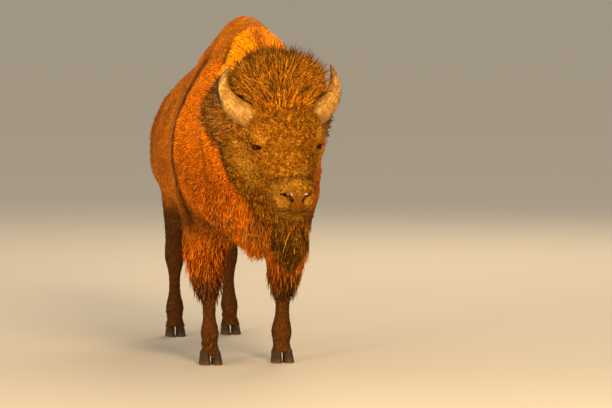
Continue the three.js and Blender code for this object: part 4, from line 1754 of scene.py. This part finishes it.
    def paths(
        self, locks: Locks, rng: np.random.Generator, roots: Array, normals: Array, thick: Array
    ) -> Array:
        """The line that each tuft follows from its root to its tip.

        Args:
            locks: the layer.
            rng: its random numbers.
            roots: where the tufts stand on the skin.
            normals: the skin's normals there.
            thick: how thickly the layer grows there.

        Returns:
            The knots of each line.
        """
        count = len(roots)
        lie = lie_of(roots, normals)
        sway = 0.40 * Ripple(0.20, 3).at(roots) * locks.spread / 0.2 * 0.6
        sway += 0.5 * Ripple(0.05, 5).at(roots) * locks.spread
        sway += rng.normal(0, locks.spread, count)
        across = np.cross(normals, lie)
        length = locks.length * (1 + locks.vary * rng.uniform(-0.5, 0.5, count))
        length *= (1 - locks.taper * (1 - thick)) * (1 + 0.12 * Ripple(0.06, 8).at(roots))
        share = PELT.at(roots)
        length *= 1 - np.maximum(0.55 * self.near_eye(roots), 0.45 * share["muzzle"])
        length *= (1 - 0.50 * share["lee"]) * (1 - 0.60 * share["crease"]) * (1 - 0.6 * share["ear"])
        length *= 1 - 0.3 * self.near_horn(roots)
        if "hind" in locks.kinds:
            length *= 1 + 0.5 * step(0.13, 0.07, roots[:, 2])
        if "face" in locks.kinds:
            length *= 1 + 1.3 * share["brim"] + 0.6 * share["flank"]
        start, end = (math.radians(angle) for angle in locks.fall.lift)
        phase = rng.uniform(0, 2 * math.pi, count)
        knots = [roots - normals * locks.sink]
        for ring in range(locks.rings):
            gone = (ring + 0.5) / locks.rings
            turn = sway + locks.curl * np.sin(phase + 2.6 * gone * math.pi)
            flat = column(np.cos(turn)) * lie + column(np.sin(turn)) * across
            lift = (start + (end - start) * gone) * (1 + 0.25 * np.sin(phase * 3))
            lift = lift * (0.35 + 0.65 * thick) * (1 - 0.6 * share["lee"])
            way = column(np.cos(lift)) * flat + column(np.sin(lift)) * normals
            way = unit(way + locks.fall.hang * gone * 1.6 * DOWN)
            knots.append(knots[-1] + way * column(length / locks.rings))
        return np.stack(knots, 1)

    @staticmethod
    def near_eye(points: Array) -> Array:
        """1 beside an eye, falling to 0 a few centimetres away."""
        away = Skin.reach(HEAD.local(points), np.array(FACE.socket.centre))
        return step(0.085, 0.035, away)

    def near_horn(self, points: Array) -> Array:
        """1 beside a horn, falling to 0 a few centimetres away.

        Args:
            points: places on the skin.

        Returns:
            The shares.
        """
        least = np.full(len(points), 1.0)
        for index in self.by_horns(points):
            for tree in self.hard:
                away = tree.find_nearest(Vector(points[index]), 0.06)[3]
                least[index] = min(least[index], 1.0 if away is None else away)
        return step(0.045, 0.012, least)

    def pieces(
        self, locks: Locks, rng: np.random.Generator, paths: Array, normals: Array, places: Array,
        finish: Material,
    ) -> list[Piece]:
        """Makes meshes of tufts, split from side to side so that none is too large.

        Args:
            locks: the layer.
            rng: its random numbers.
            paths: the tufts' lines.
            normals: the skin's normals at their roots.
            places: their roots' places on the unwrapped skin.
            finish: their material.

        Returns:
            The pieces.
        """
        each = (locks.rings - 1) * 6 + 4
        parts = math.ceil(len(paths) * each / self.most)
        order = np.argsort(paths[:, 0, 0], kind="stable")
        made = []
        for index, chosen in enumerate(np.array_split(order, parts)):
            name = locks.name if parts == 1 else f"{locks.name}_{index + 1}"
            piece = self.mesh_of(locks, rng, name, paths[chosen], normals[chosen], places[chosen])
            piece.data.materials.append(finish)
            made.append(piece)
        return made

    def mesh_of(
        self, locks: Locks, rng: np.random.Generator, name: str, paths: Array, normals: Array, places: Array
    ) -> Piece:
        """One mesh of three-sided tufts that taper to a point, with a closed root.

        Args:
            locks: the layer.
            rng: its random numbers.
            name: the piece's name.
            paths: the tufts' lines.
            normals: the skin's normals at their roots.
            places: their roots' places on the unwrapped skin.

        Returns:
            The piece.
        """
        count, rings = len(paths), locks.rings
        rise = np.arange(rings) / rings
        ways = unit(np.diff(paths, axis=1))
        across = unit(np.cross(ways, normals[:, None, :]))
        over = np.cross(ways, across)
        roll = rng.uniform(-0.5, 0.5, count)[:, None]
        wide = locks.width * rng.uniform(0.7, 1.3, count)[:, None] * (1 - rise**1.8)
        wide = wide * (0.6 + 0.4 * np.minimum(1, 3 * rise))
        corners = []
        for corner in range(3):
            angle = roll + 2 * math.pi * corner / 3 + math.pi / 2
            reach = 0.5 * np.cos(angle)[..., None] * across + 0.30 * np.sin(angle)[..., None] * over
            corners.append(paths[:, :-1] + reach * wide[..., None])
        tube = np.stack(corners, 2).reshape(count, rings * 3, 3)
        points = np.concatenate([tube, paths[:, -1:]], 1).reshape(-1, 3)
        faces = [(0, 2, 1)]
        for ring in range(rings - 1):
            for corner in range(3):
                here, there = 3 * ring + corner, 3 * ring + (corner + 1) % 3
                faces += [(here, there, there + 3), (here, there + 3, here + 3)]
        last = 3 * (rings - 1)
        faces += [(last + corner, last + (corner + 1) % 3, last + 3) for corner in range(3)]
        size = 3 * rings + 1
        index = (np.array(faces)[None] + np.arange(count)[:, None, None] * size).reshape(-1)
        mesh = bpy.data.meshes.new(name)
        mesh.vertices.add(len(points))
        mesh.vertices.foreach_set("co", points.astype(np.float32).ravel())
        mesh.loops.add(len(index))
        mesh.loops.foreach_set("vertex_index", index.astype(np.int32))
        mesh.polygons.add(len(index) // 3)
        mesh.polygons.foreach_set("loop_start", np.arange(0, len(index), 3, dtype=np.int32))
        mesh.update(calc_edges=True)
        mesh.polygons.foreach_set("use_smooth", np.ones(len(index) // 3, bool))
        heights = np.append(np.repeat(rise, 3), 1.0)
        strand = np.empty((count, size, 3))
        strand[:, :, 0] = heights
        strand[:, :, 1:] = rng.uniform(0, 1, (count, 1, 2))
        store(mesh, "strand", strand.reshape(-1, 3))
        for key, shares in pelt_shares(paths[:, 0]).items():
            spread = np.repeat(shares, size, axis=0)
            # Painted shade of the parting and folds at every vertex, so a tuft that crosses a fold darkens
            # along it
            if key == "rim":
                spread[:, 2] = PELT.crease(points)
            store(mesh, key, spread)
        sides = np.append(np.tile([0.0, 0.5, 1.0], rings), 0.5)
        patch = self.patch * (np.stack([sides, heights], 1) - 0.5)
        spots = (places[:, None] + patch[None]).reshape(-1, 2)
        layer = mesh.uv_layers.new(name="OFBake")
        layer.uv.foreach_set("vector", np.clip(spots, 0, 1)[index].astype(np.float32).ravel())
        piece = bpy.data.objects.new(name, mesh)
        bpy.context.collection.objects.link(piece)
        return piece


# ---- eyes, horns and hooves --------------------------------------------------------------------


@dataclass
class Eyeball:
    """A wet eyeball with a clear bulge over the iris."""

    side: Side
    iris: float = 0.0175
    pupil: tuple[float, float] = (0.0105, 0.0060)
    bulge: float = 0.0016

    def build(self) -> Piece:
        """Makes the ball in the place of the frame's eye.

        Returns:
            The ball.
        """
        low, high = (np.array(corner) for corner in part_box(f"eye_{self.side}"))
        centre, radius = (low + high) / 2, FACE.socket.radius
        bpy.ops.mesh.primitive_uv_sphere_add(segments=48, ring_count=32, radius=radius)
        ball = bpy.context.active_object
        ball.name = ball.data.name = f"eyeball_{self.side}"
        sign = self.side.sign
        gaze, corner, lift = (HEAD.turned(way) for way in FACE.socket.axes(sign))
        flat = points_of(ball)
        x, y, z = (column(part) for part in flat.T)
        points = z * gaze + x * corner + y * lift * sign
        across = np.hypot(flat[:, 0], flat[:, 1])
        front = step(0.0, 0.3 * radius, flat[:, 2])
        points += column(self.bulge * front * np.exp(-((across / self.iris) ** 4))) * gaze
        wide, tall = self.pupil
        pupil = np.hypot(flat[:, 0] / wide, flat[:, 1] / tall) + 9 * (1 - front)
        store(ball.data, "eye", np.stack([pupil, across / self.iris + 9 * (1 - front), front], 1))
        set_points(ball, points + centre)
        choose([ball])
        bpy.ops.object.shade_smooth()
        return ball


@dataclass
class Horn:
    """A horn, smoothed from its solid, with what its material reads."""

    side: Side
    # The horn's middle line in the head's axes
    line: Line = (
        (0.110, 0.144, 0.050), (0.184, 0.122, 0.070), (0.250, 0.066, 0.080),
        (0.288, -0.006, 0.094), (0.288, -0.058, 0.130), (0.260, -0.090, 0.176),
    )
    stout: float = 0.004
    root: float = 0.006
    tip: float = 0.016
    # How far the tips of the left and of the right horn lean to the animal's left
    lean_left: float = 0.016
    lean_right: float = 0.006

    def build(self) -> Piece:
        """Makes the horn from its solid.

        Returns:
            The horn.
        """
        horn = copies_of([f"horn_{self.side}"], f"horn_sheath_{self.side}")
        with editing(horn):
            bpy.ops.mesh.tris_convert_to_quads(face_threshold=1.0, shape_threshold=1.2)
        apply_modifier(horn, "SUBSURF", levels=2, render_levels=2)
        points, normals = points_of(horn), normals_of(horn)
        sign = self.side.sign
        line = np.array(self.line) * flip(sign)
        local = HEAD.local(points)
        runs = np.linalg.norm(np.diff(line, axis=0), axis=1)
        starts = np.cumsum(np.append(0, runs))
        least, rise = np.full(len(local), np.inf), np.zeros(len(local))
        for index, (start, end) in enumerate(zip(line[:-1], line[1:])):
            run = end - start
            share = np.clip((local - start) @ run / (run @ run), 0.0, 1.0)
            away = np.linalg.norm(local - start - column(share) * run, axis=1)
            rise = np.where(away < least, (starts[index] + share * runs[index]) / starts[-1], rise)
            least = np.minimum(least, away)
        facing = HEAD.axes @ normals.T
        # Painted shade: where the surface turns outward it is coloured dark, as an outline
        outer = np.clip(facing[0] * sign * 0.9 - facing[1] * 0.15, 0, 1) ** 2
        turn = np.arctan2(facing[2], facing[0] * sign) / math.pi
        store(horn.data, "horn", np.stack([rise, outer, np.abs(turn)], 1))
        swell = self.stout * np.sin(math.pi * np.clip(rise * 1.15, 0, 1))
        points += normals * column(swell + self.root * bell(rise, 0.30))
        tip = HEAD.turned(unit(line[-1] - line[-2]) * self.tip)
        lean = np.array([self.lean_left if self.side is Side.LEFT else self.lean_right, 0.0, 0.0])
        set_points(horn, points + column(rise**4) * tip + column(rise**2) * lean)
        choose([horn])
        bpy.ops.object.shade_smooth()
        return horn


@dataclass
class Hooves:
    """The cloven hooves and dewclaws of one foot."""

    foot: Foot
    edge: float = 0.0035

    def build(self) -> Piece:
        """Makes the foot's claws from their solids, with softened edges.

        Returns:
            The claws as one piece.
        """
        hooves = copies_of(claws_of(self.foot), f"hooves_{self.foot}")
        with editing(hooves):
            bpy.ops.mesh.dissolve_limited(angle_limit=math.radians(4))
        apply_modifier(hooves, "BEVEL", width=self.edge, segments=3, limit_method="ANGLE", angle_limit=0.3)
        choose([hooves])
        bpy.ops.object.shade_smooth_by_angle(angle=math.radians(40))
        return hooves


# ---- the studio --------------------------------------------------------------------------------


@dataclass
class Studio:
    """A pale floor, soft light and the camera."""

    floor: float = 200.0
    camera: Place = (-3.9884, -26.0510, 2.6378)
    target: Place = (0.2924, -0.4700, 0.8241)
    lens: float = 298.24
    sky: float = 0.85
    sky_colour: str = "#f1e5d2"
    middle: Place = (0.0, -0.6, 1.0)  # what the lamps face

    def build(self) -> None:
        """Sets up everything round the animal."""
        bpy.ops.mesh.primitive_plane_add(size=self.floor)
        floor = bpy.context.active_object
        floor.name = "studio_floor"
        floor.data.materials.append(FloorFinish().build())
        scene = bpy.context.scene
        scene.world = bpy.data.worlds.new("Studio")
        scene.world.use_nodes = True
        back = scene.world.node_tree.nodes["Background"]
        back.inputs[0].default_value = linear(self.sky_colour)
        back.inputs[1].default_value = self.sky
        self.light("key", (1.2, -9.4, 5.4), 3.0, 1350.0, "#ffd79c")
        self.light("fill", (-8.5, -11.0, 1.9), 3.5, 2050.0, "#ffdfb4")
        self.light("rim", (3.0, 7.0, 6.0), 4.0, 450.0, "#ffdcae")
        lens = bpy.data.cameras.new("camera")
        lens.lens, lens.clip_end = self.lens, 500.0
        eye = bpy.data.objects.new("camera", lens)
        scene.collection.objects.link(eye)
        self.aim(eye, self.camera, self.target)
        scene.camera = eye
        scene.view_settings.view_transform = "Standard"

    @staticmethod
    def aim(thing: Piece, place: Place, target: Place) -> None:
        """Puts a light or camera in its place.

        Args:
            thing: the light or camera.
            place: where it stands.
            target: what it faces.
        """
        thing.location = place
        way = Vector(target) - Vector(place)
        thing.rotation_euler = way.to_track_quat("-Z", "Y").to_euler()

    def light(self, name: str, place: Place, size: float, power: float, colour: str) -> None:
        """Adds a large soft lamp that faces the animal.

        Args:
            name: the lamp's name.
            place: where it stands.
            size: how wide it is.
            power: how strong it is, in watts.
            colour: its light's colour in hex.
        """
        lamp = bpy.data.lights.new(name, "AREA")
        lamp.shape, lamp.size, lamp.energy = "DISK", size, power
        lamp.color = linear(colour)[:3]
        thing = bpy.data.objects.new(name, lamp)
        bpy.context.scene.collection.objects.link(thing)
        self.aim(thing, place, self.middle)


def keep(pieces: Iterable[Piece], nodes: Iterable[str] = ()) -> None:
    """Fixes finished pieces to the body and reports them.

    Args:
        pieces: the pieces.
        nodes: the frame's nodes that they stand for.
    """
    for piece in pieces:
        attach(piece, "root")
        if nodes:
            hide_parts(*nodes)
        LOG.info("%s: %d faces", piece.name, len(piece.data.polygons))


FINISHES = {
    Slot.CAPE: CoatFinish(
        "Cape wool, bleached by the sun", root=0.45, worn=0.2, soot=0.35, pale=0.25, vary=0.40
    ),
    Slot.BONNET: CoatFinish("Head hair, coarse and curled", roughness=0.55, vary=0.65, tip=1.35, clump=0.52),
    Slot.BEARD: CoatFinish("Beard hair, long and dark", roughness=0.50, clump=0.40),
    Slot.SHORT: CoatFinish(
        "Body hair, short and sleek",
        roughness=0.55, root=0.7, tip=1.12, vary=0.24, soot=0.25, worn=0.12, pale=0.2,
    ),
    Slot.LEG: CoatFinish(
        "Leg hair, short and dense", root=0.7, tip=1.12, vary=0.24, soot=0.25, worn=0.04, pale=0.1
    ),
}


def main() -> None:
    """Builds the animal, its coat and the studio, and keeps its size."""
    logging.basicConfig(level=logging.INFO, format="%(message)s")
    skin = Skin().build()
    skin.data.materials.append(CoatFinish("Under-fur over hide, nose of wet leather").skin())
    keep([skin], FLESH)
    horns = []
    horn_finish, eye_finish, hoof_finish = HornFinish().build(), EyeFinish().build(), HoofFinish().build()
    for side in Side:
        horn = Horn(side).build()
        horn.data.materials.append(horn_finish)
        keep([horn], [f"horn_{side}"])
        horns.append(horn)
        ball = Eyeball(side).build()
        ball.data.materials.append(eye_finish)
        keep([ball], [f"eye_{side}"])
    for foot in Foot:
        hooves = Hooves(foot).build()
        hooves.data.materials.append(hoof_finish)
        keep([hooves], claws_of(foot))
    coat = Coat(skin, horns)
    finishes = {slot: finish.tufts() for slot, finish in FINISHES.items()}
    for seed, locks in enumerate(coat.layers):
        grown = coat.grow(locks, finishes[locks.slot], coat.first_seed + seed)
        keep(grown, ["tail_switch"] if locks.name == "tail_hair" else [])
    Studio().build()


if __name__ == "__main__":
    main()
